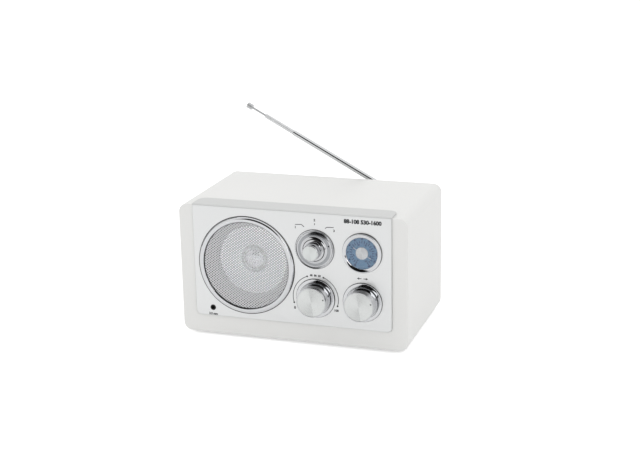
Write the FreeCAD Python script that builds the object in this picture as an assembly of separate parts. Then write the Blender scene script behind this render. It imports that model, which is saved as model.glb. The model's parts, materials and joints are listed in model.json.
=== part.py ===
"""Tabletop radio: a lacquered cabinet with a silver front, a speaker, a dial drive and a telescopic antenna.

Millimetres, +Z up, the front towards -Y. The origin is the centre of the cabinet's footprint on the plane
that the feet stand on. Depths of the controls are counted backwards from the face plate's front.
"""
import FreeCAD
import Part
import math
import os
from FreeCAD import Vector

X_AXIS = Vector(1, 0, 0)
Y_AXIS = Vector(0, 1, 0)
Z_AXIS = Vector(0, 0, 1)

# Clearances and fits
RUNNING_FIT = 0.04          # radial play of a shaft or tube in its bearing
LOOSE_GAP = 0.4             # pieces that pass each other without touching
DROP_IN_GAP = 0.5           # a board let into an opening
EPS = 1.0                   # how far a cutting tool overshoots
TOLERANCE = 1e-3            # how close an edge's middle lies to the face it is picked by

# Cabinet
CABINET_WIDTH = 245.0
CABINET_HEIGHT = 139.0
CABINET_DEPTH = 144.5
CABINET_WALL = 9.0
CABINET_RADIUS = 9.0        # outer long edges
CABINET_EASE = 1.0          # rounding of the front and back rims
FRONT_WALL = 18.0
BAFFLE_MARGIN = 1.0          # baffle board that the panel covers at its rim
FOOT_HEIGHT = 3.0           # what shows under the cabinet
FOOT_RADIUS = 7.5
FOOT_INSET_X = 24.0
FOOT_INSET_Y = 24.0
FOOT_TAPER = 0.8            # feet are this much narrower below
FOOT_SEAT = 1.0             # rubber left under a foot screw's head

# Screws: one size, in two lengths
SCREW_RADIUS = 1.5
SCREW_HEAD_RADIUS = 3.0
SCREW_HEAD_HEIGHT = 1.6
SCREW_SLOT_WIDTH = 0.9
SCREW_SLOT_DEPTH = 0.7
LONG_SCREW = 14.0
SHORT_SCREW = 7.5

# Front panel moulding and face plate
PANEL_WIDTH = 213.0
PANEL_BOTTOM = 20.0         # above the cabinet's underside
PANEL_THICKNESS = 1.5
PANEL_CORNER = 5.0
PANEL_BEND = 1.2            # rounding between front and top lip
LIP_THICKNESS = 1.5
LIP_DEPTH = 23.5            # how far the lip runs back over the cabinet
LIP_CORNER = 9.0
PLATE_THICKNESS = 0.5
PLATE_MARGIN = 0.6          # panel that shows around the face plate
PANEL_SCREW_INSET = 8.5     # screws from the panel's sides
PANEL_SCREW_RISE = 7.0      # lower screws above the panel's bottom
PANEL_SCREW_DROP = 13.0     # upper screws below the cabinet's top
PANEL_BOSS_RADIUS = 3.5
PANEL_BOSS_LENGTH = 12.0

# Control positions
DIAL_INSET = 30.5           # dial and tuning column from the panel's right side
COLUMN_SPACING = 49.8       # from there to selector and volume
LOWER_ROW_RISE = 49.7       # above the cabinet's underside
CONTROL_OPENING_SIDE = 13.5  # opening in the front wall, past the outer control axes
CONTROL_OPENING_CORNER = 4.0

# Dial drive
GEAR_MODULE = 0.8
PINION_TEETH = 18
IDLER_TEETH = 29
DIAL_TEETH = 54
GEAR_FACE = 3.0
GEAR_BACKLASH = 0.24
GEAR_CLEARANCE = 1.0        # round the dial gear's tips in the front wall
GEAR_SETBACK = 9.0          # gears behind the face plate's front
IDLER_PIN_RADIUS = 2.0
IDLER_PIN_HEAD = 1.0        # head thickness; its edge overhangs the pin by as much
IDLER_HUB_RADIUS = 4.0
PINION_HUB_RADIUS = 4.6
DIAL_GEAR_HUB_RADIUS = 4.0
DIAL_GEAR_HUB_FRONT = 0.6   # hub before the gear
PRESSURE_ANGLE = math.radians(20)

# Knobs
SHAFT_RADIUS = 3.0
SHAFT_PAST_BUSH = 1.0
KNOB_PROUD = 15.5           # knob fronts before the face plate
KNOB_GAP = 1.0              # knob skirt to face plate
KNOB_BASE_RADIUS = 16.4
KNOB_FRONT_RADIUS = 15.7
KNOB_RIM = 0.9              # chrome rim round the knob face
KNOB_RIM_CHAMFER = 0.2
KNOB_ROUND = 0.35           # rounding of the knob's front edge
KNOB_WALL = 1.6
KNOB_HUB_RADIUS = 5.5
KNOB_HUB_GAP = 1.5          # hub to face plate
KNOB_FACE_THICKNESS = 0.8
KNOB_DOT_RADIUS = 0.55
KNOB_DOT_DISTANCE = 12.6
KNOB_DOT_ANGLE = 81.0       # clockwise from the top
BEZEL_RADIUS = 20.4
BEZEL_INNER_RADIUS = 16.9
BEZEL_HEIGHT = 1.6

# Selector
SELECTOR_BEZEL_INNER_RADIUS = 19.3
SELECTOR_FLANGE_RADIUS = 18.9
SELECTOR_FLANGE_EDGE = 0.9  # thickness of the flange's edge
SELECTOR_STEP_RADIUS = 11.2
SELECTOR_STEP_HEIGHT = 3.4
SELECTOR_STEP_EDGE = 0.8
SELECTOR_FLANGE_DISH = 0.22  # height of the flange's middle, as a share of its rise
SELECTOR_FLANGE_SHIFT = 1.0  # that middle point, inwards from halfway
SELECTOR_STEM_RADIUS = 9.0
SELECTOR_CHAMFER = 0.3
SELECTOR_DOT_FLOOR = 0.4    # metal left under the dot
SELECTOR_FRONT_RADIUS = 8.6
SELECTOR_CAP_RADIUS = 7.7
SELECTOR_CAP_THICKNESS = 0.6
SELECTOR_DOT_DISTANCE = 16.2
SELECTOR_DOT_RADIUS = 0.6
SELECTOR_DOT_ANGLE = 78.0

# Dial
DIAL_BEZEL_HEIGHT = 3.0
DIAL_BEZEL_INNER_RADIUS = 16.5
DIAL_DISC_RADIUS = 17.3
DIAL_DISC_THICKNESS = 0.5
DIAL_WINDOW_RADIUS = 15.5   # light opening behind the disc
DIAL_LENS_THICKNESS = 0.6
DIAL_LENS_SETBACK = 0.3     # lens behind the bezel's lip
DIAL_HUB_RADIUS = 6.4
DIAL_HUB_THICKNESS = 0.6
DIAL_HUB_CHAMFER = 0.2
DIAL_POINTER_REACH = 10.6
DIAL_POINTER_WIDTH = 0.9
DIAL_POINTER_THICKNESS = 0.3
DIAL_POINTER_ANGLE = 120.0  # clockwise from the top
DIAL_SHAFT_RADIUS = 2.0
COLLAR_RADIUS = 19.0        # collar on the moulding behind the dial's window
COLLAR_DEPTH = 4.5
COLLAR_WALL = 1.2
LAMP_BOARD_THICKNESS = 1.0
LAMP_BOARD_HOLE_RADIUS = 4.0
LAMP_RADIUS = 1.6
LAMP_HEIGHT = 2.0
LAMP_CIRCLE_RADIUS = 12.0
LAMP_COUNT = 4
TUNER_BORE_DEPTH = 6.0      # how far the dial shaft enters the tuning capacitor

# Gear bracket and tuning bush
BRACKET_SETBACK = 14.0
BRACKET_THICKNESS = 1.2
BRACKET_SIDE = 12.5         # bracket past the control axis
BRACKET_END = 8.0           # bracket past the end axes
BUSH_RADIUS = 5.0
BUSH_LENGTH = 7.0
BUSH_COLLAR = 1.5           # collar thickness; its edge overhangs the sleeve by as much

# Main board
BOARD_STANDOFF = 8.0
BOARD_THICKNESS = 1.6
STANDOFF_RADIUS = 3.5
STANDOFF_OUTSET = 4.5       # standoffs outside the control opening
STANDOFF_LOW_RISE = 44.0
STANDOFF_MARGIN = 5.0       # board past its screws
BOARD_DROP = 8.0            # board below its lower screws' margin
POT_RADIUS = 8.5
POT_DEPTH = 10.0
POT_BUSH_RADIUS = 4.0
POT_BUSH_LENGTH = 6.0
SWITCH_RADIUS = 12.0
SWITCH_DEPTH = 9.0
TUNER_SIDE = 21.0
TUNER_CORNER = 1.5
TERMINAL_LENGTH = 2.0       # beyond the control's body
TERMINAL_WIDTH = 1.2
TERMINAL_SPACING = 4.0

# Board components
CAPACITOR_SIZES = ((6.5, 16.0), (5.0, 12.0), (4.0, 11.0), (3.2, 9.0))
CAPACITOR_CHAMFER = 0.5
CAPACITOR_GAP = 1.5
COIL_CAN_SIDE = 7.5
COIL_CAN_HEIGHT = 10.0
COIL_CAN_COUNT = 4
COIL_CAN_PITCH = 10.5
COIL_WELL_RADIUS = 1.9
COIL_WELL_DEPTH = 1.0

# Ferrite antenna
FERRITE_RADIUS = 4.5
FERRITE_LENGTH = 84.0
FERRITE_DROP = 16.0         # below the cabinet's top wall
FERRITE_COIL_RADIUS = 6.2
FERRITE_COIL_LENGTH = 22.0
FERRITE_HOLDER_WIDTH = 5.0
FERRITE_HOLDER_RADIUS = 7.0

# Loudspeaker
SPEAKER_INSET = 58.3        # from the panel's left side
SPEAKER_RISE = 78.4         # above the cabinet's underside
RING_RADIUS = 52.2
RING_INNER_RADIUS = 46.9
RING_HEIGHT = 2.4
RING_REBATE = 1.3
GRILLE_THICKNESS = 0.8
SPEAKER_HOLE_RADIUS = 46.5
BASKET_RADIUS = 50.5
BASKET_SHEET = 1.2
BASKET_MOUTH_RADIUS = 43.5
BASKET_LEDGE_OUTER = 28.0
BASKET_LEDGE_INNER = 24.0
BASKET_LEDGE_DEPTH = 16.0
BASKET_DEPTH = 24.0
BASKET_WINDOWS = 6
BASKET_RIB = 8.0
SPEAKER_SCREW_CIRCLE = 53.0
SPEAKER_EAR_RADIUS = 4.5
SURROUND_LIP_RADIUS = 46.2
SURROUND_THICKNESS = 0.8
SURROUND_INNER_RADIUS = 36.6
SURROUND_ROLL_HEIGHT = 3.4
CONE_RADIUS = 36.6
CONE_THICKNESS = 0.7
CONE_DEPTH = 12.0
CONE_FLARE = 1.2
DUST_CAP_RADIUS = 14.0
DUST_CAP_HEIGHT = 4.6
DUST_CAP_THICKNESS = 0.5
COIL_FORMER_RADIUS = 10.0
COIL_FORMER_WALL = 0.3
COIL_WINDING = 0.4
COIL_WINDING_LENGTH = 7.0
COIL_END_DEPTH = 31.0
SPIDER_THICKNESS = 0.5
SPIDER_WAVES = 4
SPIDER_WAVE_HEIGHT = 0.6
YOKE_RADIUS = 27.0
YOKE_FRONT = 4.0
YOKE_BACK = 4.0
POLE_RADIUS = 9.4
YOKE_GAP = 0.4              # winding to the front plate's bore
MAGNET_RADIUS = 30.0
MAGNET_INNER_RADIUS = 15.0
MAGNET_THICKNESS = 10.0

# Line-in jack
JACK_INSET = 19.2           # from the panel's left side
JACK_RISE = 29.0
JACK_BORE_RADIUS = 1.8
JACK_BUSH_RADIUS = 3.0
JACK_BODY = 11.0
JACK_PROUD = 0.3            # bush before the face plate
JACK_DEPTH = 14.0
JACK_BORE_FLOOR = 1.5       # wall behind the bore
JACK_NUT_ACROSS = 8.0
JACK_NUT_THICKNESS = 2.0

# Back panel
BACK_THICKNESS = 3.0
BACK_RECESS = 0.5
BLOCK_SIDE = 14.0
BLOCK_LENGTH = 18.0
VENT_ROWS = 7
VENT_COLUMNS = 2
VENT_LENGTH = 34.0
VENT_WIDTH = 3.0
VENT_PITCH_X = 40.0
VENT_PITCH_Z = 7.0
VENT_CENTRE_X = -30.0
VENT_RISE = 84.0

# Mains
INLET_INSET = 40.5          # from the cabinet's side
INLET_RISE = 32.0
INLET_WIDTH = 24.0
INLET_HEIGHT = 14.0
INLET_FLANGE = 3.0
INLET_FLANGE_THICKNESS = 1.5
INLET_CORNER = 2.5
INLET_DEPTH = 16.0
SOCKET_WIDTH = 16.4
SOCKET_HEIGHT = 8.6
SOCKET_DEPTH = 11.0
SOCKET_PIN_SPACING = 8.0
SOCKET_PIN_RADIUS = 1.2
SOCKET_PIN_LENGTH = 9.0
SOCKET_PIN_CHAMFER = 0.4
TRANSFORMER_INSET = 56.5    # from the cabinet's side
TRANSFORMER_Y = 26.0
CORE_WIDTH = 48.0
CORE_HEIGHT = 40.0
CORE_DEPTH = 18.0
WINDING_WIDTH = 26.0
WINDING_HEIGHT = 26.0
WINDING_DEPTH = 34.0
WINDING_ROUND = 3.0
TRANSFORMER_FOOT_LENGTH = 68.0
TRANSFORMER_FOOT_THICKNESS = 1.5
TRANSFORMER_SCREW_SPACING = 58.0

# Antenna
ANTENNA_INSET = 33.5        # from the cabinet's other side
ANTENNA_RISE = 110.7        # pivot above the cabinet's underside
ANTENNA_ANGLE = 28.35       # above the horizontal, leaning to -X
ANTENNA_PLANE = 9.0         # tubes behind the back panel's outer face
BUSHING_RADIUS = 8.0
BUSHING_THICKNESS = 1.8
BUSHING_TAPER = 0.6
BUSHING_SLEEVE_RADIUS = 5.0
BUSHING_PROUD = 1.0         # sleeve past the back panel's inner face
HEAD_RADIUS = 5.6
HEAD_SLOT = 3.6
HEAD_STEM_RADIUS = 3.0
HEAD_TAIL = 4.4             # head behind the hinge pin
HEAD_CHAMFER = 0.6
HEAD_END_PLAY = 0.3         # head and lock nut to the bush
STEM_PAST_NUT = 0.8
LUG_THICKNESS = 2.8
LUG_RADIUS = 3.3
LUG_WAIST_RADIUS = 2.8
LUG_SHOULDER = 1.5
LUG_PLUG = 5.0
HINGE_PIN_RADIUS = 1.1
HINGE_PIN_SINK = 0.2        # pin ends under the head's surface
LOCK_NUT_ACROSS = 9.0
LOCK_NUT_THICKNESS = 2.5
TUBE_START = 9.0            # first tube from the hinge pin
TUBE_RADII = (3.1, 2.5, 1.9)
TUBE_WALL = 0.3
TUBE_MOUTH = 2.5            # length of each tube's drawn-in mouth
TUBE_COLLAR = 4.0           # length of the guide collar on each inner end
FIRST_TUBE_END = 155.8      # first tube's mouth from the hinge pin
SECOND_TUBE_LENGTH = 142.0
THIRD_TUBE_LENGTH = 138.0
ROD_RADIUS = 1.2
ROD_LENGTH = 134.0
TIP_RADIUS = 3.2
TIP_LENGTH = 6.6
TIP_CHAMFER = 0.8
SECOND_TUBE_OUT = 37.0      # how far each section stands out at rest
THIRD_TUBE_OUT = 0.8
ROD_OUT = 17.0

# Places worked out from the sizes above
CABINET_FRONT_Y = -CABINET_DEPTH / 2
CABINET_BACK_Y = CABINET_DEPTH / 2
CABINET_BOTTOM_Z = FOOT_HEIGHT
CABINET_TOP_Z = CABINET_BOTTOM_Z + CABINET_HEIGHT
INNER_HALF_WIDTH = CABINET_WIDTH / 2 - CABINET_WALL
FLOOR_Z = CABINET_BOTTOM_Z + CABINET_WALL
CEILING_Z = CABINET_TOP_Z - CABINET_WALL
INNER_FRONT_Y = CABINET_FRONT_Y + FRONT_WALL
PANEL_FRONT_Y = CABINET_FRONT_Y - PANEL_THICKNESS
FACE_Y = PANEL_FRONT_Y - PLATE_THICKNESS
BACK_INNER_Y = CABINET_BACK_Y - BACK_RECESS - BACK_THICKNESS
BACK_OUTER_Y = CABINET_BACK_Y - BACK_RECESS
SPEAKER_Z = CABINET_BOTTOM_Z + SPEAKER_RISE
BOARD_FRONT_Y = INNER_FRONT_Y + BOARD_STANDOFF
BOARD_BACK_Y = BOARD_FRONT_Y + BOARD_THICKNESS
GEAR_FRONT_Y = FACE_Y + GEAR_SETBACK
GEAR_BACK_Y = GEAR_FRONT_Y + GEAR_FACE
BRACKET_FRONT_Y = FACE_Y + BRACKET_SETBACK
BRACKET_BACK_Y = BRACKET_FRONT_Y + BRACKET_THICKNESS
LOWER_ROW_Z = CABINET_BOTTOM_Z + LOWER_ROW_RISE
PINION_TO_IDLER = GEAR_MODULE * (PINION_TEETH + IDLER_TEETH) / 2
IDLER_TO_DIAL = GEAR_MODULE * (IDLER_TEETH + DIAL_TEETH) / 2
IDLER_Z = LOWER_ROW_Z + PINION_TO_IDLER
UPPER_ROW_Z = IDLER_Z + IDLER_TO_DIAL
DIAL_X = PANEL_WIDTH / 2 - DIAL_INSET
CONTROL_COLUMN_X = DIAL_X - COLUMN_SPACING
SPEAKER_X = SPEAKER_INSET - PANEL_WIDTH / 2
JACK_X = JACK_INSET - PANEL_WIDTH / 2
INLET_X = INLET_INSET - CABINET_WIDTH / 2
TRANSFORMER_X = TRANSFORMER_INSET - CABINET_WIDTH / 2
ANTENNA_X = CABINET_WIDTH / 2 - ANTENNA_INSET
OPENING_LEFT_X = CONTROL_COLUMN_X - CONTROL_OPENING_SIDE
DIAL_GEAR_REACH = GEAR_MODULE * (DIAL_TEETH / 2 + 1) + GEAR_CLEARANCE
OPENING_RIGHT_X = DIAL_X + CONTROL_OPENING_SIDE
OPENING_BOTTOM_Z = LOWER_ROW_Z - CONTROL_OPENING_SIDE
OPENING_TOP_Z = UPPER_ROW_Z + CONTROL_OPENING_SIDE
STANDOFF_SLANT = (DIAL_GEAR_REACH + STANDOFF_OUTSET) * math.sqrt(0.5)
STANDOFF_XS = (OPENING_LEFT_X - STANDOFF_OUTSET, DIAL_X + STANDOFF_SLANT)
STANDOFF_ZS = (CABINET_BOTTOM_Z + STANDOFF_LOW_RISE, UPPER_ROW_Z + STANDOFF_SLANT)
BOARD_LEFT_X = STANDOFF_XS[0] - STANDOFF_MARGIN
BOARD_RIGHT_X = STANDOFF_XS[1] + STANDOFF_MARGIN
BOARD_BOTTOM_Z = STANDOFF_ZS[0] - STANDOFF_MARGIN - BOARD_DROP
BOARD_TOP_Z = STANDOFF_ZS[1] + STANDOFF_MARGIN
FERRITE_Z = CEILING_Z - FERRITE_DROP
FERRITE_X = (BOARD_LEFT_X + BOARD_RIGHT_X) / 2
FERRITE_Y = BOARD_BACK_Y + FERRITE_HOLDER_RADIUS
JACK_Z = CABINET_BOTTOM_Z + JACK_RISE
INLET_Z = CABINET_BOTTOM_Z + INLET_RISE
ANTENNA_Z = CABINET_BOTTOM_Z + ANTENNA_RISE
ANTENNA_Y = BACK_OUTER_Y + ANTENNA_PLANE


# Shape helpers

def block(x0, x1, y0, y1, z0, z1):
    """Box between two corners."""
    return Part.makeBox(x1 - x0, y1 - y0, z1 - z0, Vector(x0, y0, z0))


def disc(x, z, radius, y0, y1):
    """Cylinder that lies along Y."""
    return Part.makeCylinder(radius, y1 - y0, Vector(x, y0, z), Y_AXIS)


def ring(x, z, outer, inner, y0, y1):
    """Tube that lies along Y."""
    return disc(x, z, outer, y0, y1).cut(disc(x, z, inner, y0 - EPS, y1 + EPS))


def post(x, y, radius, z0, z1):
    """Cylinder that stands along Z."""
    return Part.makeCylinder(radius, z1 - z0, Vector(x, y, z0), Z_AXIS)


def path_wire(start, steps, place):
    """Closed wire from a start point; a step is a point (line) or a pair of points (arc: middle, end)."""
    edges = []
    here = start
    for step in steps + [start]:
        if isinstance(step[0], tuple):
            middle, end = step
            edges.append(Part.Arc(place(*here), place(*middle), place(*end)).toShape())
        else:
            end = step
            edges.append(Part.makeLine(place(*here), place(*end)))
        here = end
    return Part.Wire(edges)


def turned(x, z, y0, start, steps):
    """Solid turned about the Y-parallel through (x, z), from a profile in (radius, depth behind y0)."""
    wire = path_wire(start, steps, lambda radius, depth: Vector(x + radius, y0 + depth, z))
    solid = Part.Face(wire).revolve(Vector(x, 0, z), Y_AXIS, 360)
    return outward(solid)


def outward(solid):
    """The same solid with its faces pointing out."""
    return solid.reversed() if solid.Volume < 0 else solid


def prism_y(points, y0, y1):
    """Straight prism along Y over a closed polygon of (x, z) points."""
    wire = Part.makePolygon([Vector(px, y0, pz) for px, pz in points + points[:1]])
    return Part.Face(wire).extrude(Vector(0, y1 - y0, 0))


def rounded_board(x0, x1, z0, z1, y0, y1, radius):
    """Board across the front with its four corners rounded."""
    board = block(x0, x1, y0, y1, z0, z1)
    corners = [edge for edge in board.Edges if is_along(edge, Y_AXIS)]
    return board.makeFillet(radius, corners)


def is_along(edge, axis):
    """Whether a straight edge runs along an axis."""
    first, last = edge.Vertexes[0].Point, edge.Vertexes[-1].Point
    return (last - first).cross(axis).Length < 1e-6 and (last - first).Length > 1e-6


def slot_y(x, z, length, width, y0, y1):
    """Round-ended slot cutter along Y, long in X."""
    reach = (length - width) / 2
    body = block(x - reach, x + reach, y0, y1, z - width / 2, z + width / 2)
    return body.fuse([disc(x + side * reach, z, width / 2, y0, y1) for side in (-1, 1)]).removeSplitter()


def screw(x, y, z, direction, length):
    """Screw with a raised, slotted head that seats at (x, y, z); its shank runs along a direction."""
    seat = Vector(x, y, z)
    outside = direction * -1
    edge = Part.makeCylinder(SCREW_HEAD_RADIUS, SCREW_HEAD_HEIGHT / 2, seat, outside)
    half_head = SCREW_HEAD_HEIGHT / 2
    crown_seat = seat + outside * half_head
    crown = Part.makeCone(SCREW_HEAD_RADIUS, SCREW_HEAD_RADIUS / 2, half_head, crown_seat, outside)
    slot = Part.makeBox(2 * SCREW_HEAD_RADIUS + 2 * EPS, SCREW_SLOT_WIDTH, SCREW_HEAD_HEIGHT)
    slot_floor = SCREW_HEAD_HEIGHT - SCREW_SLOT_DEPTH
    slot.translate(Vector(-SCREW_HEAD_RADIUS - EPS, -SCREW_SLOT_WIDTH / 2, slot_floor))
    slot.Placement = FreeCAD.Placement(seat, FreeCAD.Rotation(Z_AXIS, outside)).multiply(slot.Placement)
    shank = Part.makeCylinder(SCREW_RADIUS, length, seat, direction)
    return edge.fuse([crown, shank]).removeSplitter().cut(slot)


def hex_nut(x, z, across, bore, y0, y1):
    """Hexagon nut that lies along Y."""
    points = [clock_point(x, z, across / math.sqrt(3), 60 * k) for k in range(6)]
    return prism_y(points, y0, y1).cut(disc(x, z, bore, y0 - EPS, y1 + EPS))


def clock_point(x, z, distance, angle):
    """Point at a distance from (x, z), at an angle in degrees clockwise from the top, seen from the front."""
    turn = math.radians(angle)
    return x + distance * math.sin(turn), z + distance * math.cos(turn)


# Cabinet

def screw_places():
    """Where the panel's four screws cross the front wall."""
    left = -PANEL_WIDTH / 2 + PANEL_SCREW_INSET
    right = -left
    low = CABINET_BOTTOM_Z + PANEL_BOTTOM + PANEL_SCREW_RISE
    high = CABINET_TOP_Z - PANEL_SCREW_DROP
    middle = OPENING_LEFT_X - STANDOFF_OUTSET - 2 * STANDOFF_RADIUS
    return ((left, low), (right, low), (left, high), (middle, high))


def baffle_blank(y0, y1):
    """Baffle board without its openings; its rim is hidden by the front panel."""
    half = PANEL_WIDTH / 2 - BAFFLE_MARGIN
    low = CABINET_BOTTOM_Z + PANEL_BOTTOM + BAFFLE_MARGIN
    return block(-half, half, y0, y1, low, CEILING_Z)


def cabinet_shell():
    """Lacquered case with rounded long edges, a rim round the baffle board and an open back."""
    half = CABINET_WIDTH / 2
    outer = block(-half, half, CABINET_FRONT_Y, CABINET_BACK_Y, CABINET_BOTTOM_Z, CABINET_TOP_Z)
    outer = outer.makeFillet(CABINET_RADIUS, [edge for edge in outer.Edges if is_along(edge, Y_AXIS)])
    rims = [edge for edge in outer.Edges if abs(edge.CenterOfMass.y) > CABINET_BACK_Y - TOLERANCE]
    outer = outer.makeFillet(CABINET_EASE, rims)
    room = block(-INNER_HALF_WIDTH, INNER_HALF_WIDTH, INNER_FRONT_Y, CABINET_BACK_Y + EPS, FLOOR_Z, CEILING_Z)
    cuts = [room, baffle_blank(CABINET_FRONT_Y - EPS, INNER_FRONT_Y + EPS)]
    for x, y in foot_places():
        cuts.append(post(x, y, SCREW_RADIUS, CABINET_BOTTOM_Z - EPS, FOOT_HEIGHT - FOOT_SEAT + SHORT_SCREW))
    for x in transformer_screw_xs():
        tip_z = FLOOR_Z + TRANSFORMER_FOOT_THICKNESS - SHORT_SCREW
        cuts.append(post(x, TRANSFORMER_Y, SCREW_RADIUS, tip_z, FLOOR_Z + EPS))
    return outer.cut(cuts)


def front_baffle():
    """Board glued into the front of the case, with openings for speaker, controls and jack."""
    front_y, back_y = CABINET_FRONT_Y - EPS, INNER_FRONT_Y + EPS
    cuts = [disc(SPEAKER_X, SPEAKER_Z, SPEAKER_HOLE_RADIUS, front_y, back_y)]
    cuts.append(rounded_board(
        OPENING_LEFT_X, OPENING_RIGHT_X, OPENING_BOTTOM_Z, OPENING_TOP_Z,
        front_y, back_y, CONTROL_OPENING_CORNER))
    cuts.append(disc(DIAL_X, UPPER_ROW_Z, DIAL_GEAR_REACH, front_y, back_y))
    jack_half = JACK_BODY / 2 + LOOSE_GAP
    cuts.append(block(
        JACK_X - jack_half, JACK_X + jack_half, front_y, back_y, JACK_Z - jack_half, JACK_Z + jack_half))
    pocket_y = CABINET_FRONT_Y + PANEL_BOSS_LENGTH + LOOSE_GAP
    for x, z in screw_places():
        cuts.append(disc(x, z, PANEL_BOSS_RADIUS + LOOSE_GAP, front_y, pocket_y))
        cuts.append(disc(x, z, SCREW_RADIUS, front_y, back_y))
    for x, z in board_screw_places():
        cuts.append(disc(x, z, SCREW_RADIUS, BOARD_BACK_Y - LONG_SCREW, back_y))
    for x, z in speaker_screw_places():
        cuts.append(disc(x, z, SCREW_RADIUS, INNER_FRONT_Y + BASKET_SHEET - LONG_SCREW, back_y))
    return baffle_blank(CABINET_FRONT_Y, INNER_FRONT_Y).cut(cuts)


def block_places():
    """Centres of the blocks in the corners and in the middle of floor and ceiling."""
    side = INNER_HALF_WIDTH - BLOCK_SIDE / 2
    low, high = FLOOR_Z + BLOCK_SIDE / 2, CEILING_Z - BLOCK_SIDE / 2
    return [(x, z) for x in (-side, 0.0, side) for z in (low, high)]


def corner_blocks():
    """Glued wooden blocks that take the back panel's screws."""
    blocks = []
    half = BLOCK_SIDE / 2
    for x, z in block_places():
        body = block(x - half, x + half, BACK_INNER_Y - BLOCK_LENGTH, BACK_INNER_Y, z - half, z + half)
        blocks.append(body.cut(disc(x, z, SCREW_RADIUS, BACK_OUTER_Y - LONG_SCREW, BACK_INNER_Y + EPS)))
    return Part.Compound(blocks)


def back_panel():
    """Back board with vent slots, the antenna's hole and the mains inlet's cut-out."""
    panel = rounded_board(
        -INNER_HALF_WIDTH + DROP_IN_GAP, INNER_HALF_WIDTH - DROP_IN_GAP,
        FLOOR_Z + DROP_IN_GAP, CEILING_Z - DROP_IN_GAP, BACK_INNER_Y, BACK_OUTER_Y, 2.0)
    y0, y1 = BACK_INNER_Y - EPS, BACK_OUTER_Y + EPS
    cuts = [disc(x, z, SCREW_RADIUS, y0, y1) for x, z in block_places()]
    cuts.append(disc(ANTENNA_X, ANTENNA_Z, BUSHING_SLEEVE_RADIUS, y0, y1))
    half_width, half_height = INLET_WIDTH / 2, INLET_HEIGHT / 2
    cuts.append(block(
        INLET_X - half_width, INLET_X + half_width, y0, y1, INLET_Z - half_height, INLET_Z + half_height))
    for column in range(VENT_COLUMNS):
        for row in range(VENT_ROWS):
            x = VENT_CENTRE_X + (column - (VENT_COLUMNS - 1) / 2) * VENT_PITCH_X
            z = CABINET_BOTTOM_Z + VENT_RISE + (row - (VENT_ROWS - 1) / 2) * VENT_PITCH_Z
            cuts.append(slot_y(x, z, VENT_LENGTH, VENT_WIDTH, y0, y1))
    return panel.cut(cuts)


def back_screws():
    """Screws that hold the back panel to its blocks."""
    return Part.Compound([screw(x, BACK_OUTER_Y, z, Y_AXIS * -1, LONG_SCREW) for x, z in block_places()])


def foot_places():
    """Centres of the four feet."""
    x = CABINET_WIDTH / 2 - FOOT_INSET_X
    y = CABINET_DEPTH / 2 - FOOT_INSET_Y
    return [(sx * x, sy * y) for sx in (-1, 1) for sy in (-1, 1)]


def rubber_feet():
    """Four rubber feet, each with a recess for its screw's head."""
    feet = []
    for x, y in foot_places():
        foot = Part.makeCone(FOOT_RADIUS - FOOT_TAPER, FOOT_RADIUS, FOOT_HEIGHT, Vector(x, y, 0), Z_AXIS)
        recess = post(x, y, SCREW_HEAD_RADIUS + LOOSE_GAP, -EPS, FOOT_HEIGHT - FOOT_SEAT)
        hole = post(x, y, SCREW_RADIUS, -EPS, FOOT_HEIGHT + EPS)
        feet.append(foot.cut([recess, hole]))
    return Part.Compound(feet)


def short_screws():
    """Short screws: one in each foot, and two in the transformer's feet."""
    screws = [screw(x, y, FOOT_HEIGHT - FOOT_SEAT, Z_AXIS, SHORT_SCREW) for x, y in foot_places()]
    transformer_z = FLOOR_Z + TRANSFORMER_FOOT_THICKNESS
    for x in transformer_screw_xs():
        screws.append(screw(x, TRANSFORMER_Y, transformer_z, Z_AXIS * -1, SHORT_SCREW))
    return Part.Compound(screws)


def long_screws():
    """Long screws in the front wall: for the panel, the loudspeaker and the main board."""
    seats = [(x, INNER_FRONT_Y, z) for x, z in screw_places()]
    seats += [(x, INNER_FRONT_Y + BASKET_SHEET, z) for x, z in speaker_screw_places()]
    seats += [(x, BOARD_BACK_Y, z) for x, z in board_screw_places()]
    return Part.Compound([screw(x, y, z, Y_AXIS * -1, LONG_SCREW) for x, y, z in seats])


# Front panel

def panel_outline(margin, y0, y1, top_z):
    """Front sheet of the panel, drawn in by a margin, with its two bottom corners rounded."""
    half = PANEL_WIDTH / 2 - margin
    bottom = CABINET_BOTTOM_Z + PANEL_BOTTOM + margin
    sheet = block(-half, half, y0, y1, bottom, top_z)
    upright = [edge for edge in sheet.Edges if is_along(edge, Y_AXIS)]
    low = [edge for edge in upright if edge.CenterOfMass.z < bottom + TOLERANCE]
    return sheet.makeFillet(PANEL_CORNER - margin, low)


def control_holes(y0, y1):
    """Cutters for everything that passes through the front."""
    cuts = [disc(SPEAKER_X, SPEAKER_Z, RING_INNER_RADIUS + RING_REBATE + LOOSE_GAP, y0, y1)]
    shaft_hole = SHAFT_RADIUS + LOOSE_GAP
    for x, z in ((CONTROL_COLUMN_X, LOWER_ROW_Z), (CONTROL_COLUMN_X, UPPER_ROW_Z), (DIAL_X, LOWER_ROW_Z)):
        cuts.append(disc(x, z, shaft_hole, y0, y1))
    cuts.append(disc(DIAL_X, UPPER_ROW_Z, DIAL_WINDOW_RADIUS, y0, y1))
    cuts.append(disc(JACK_X, JACK_Z, JACK_BUSH_RADIUS, y0, y1))
    return cuts


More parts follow.
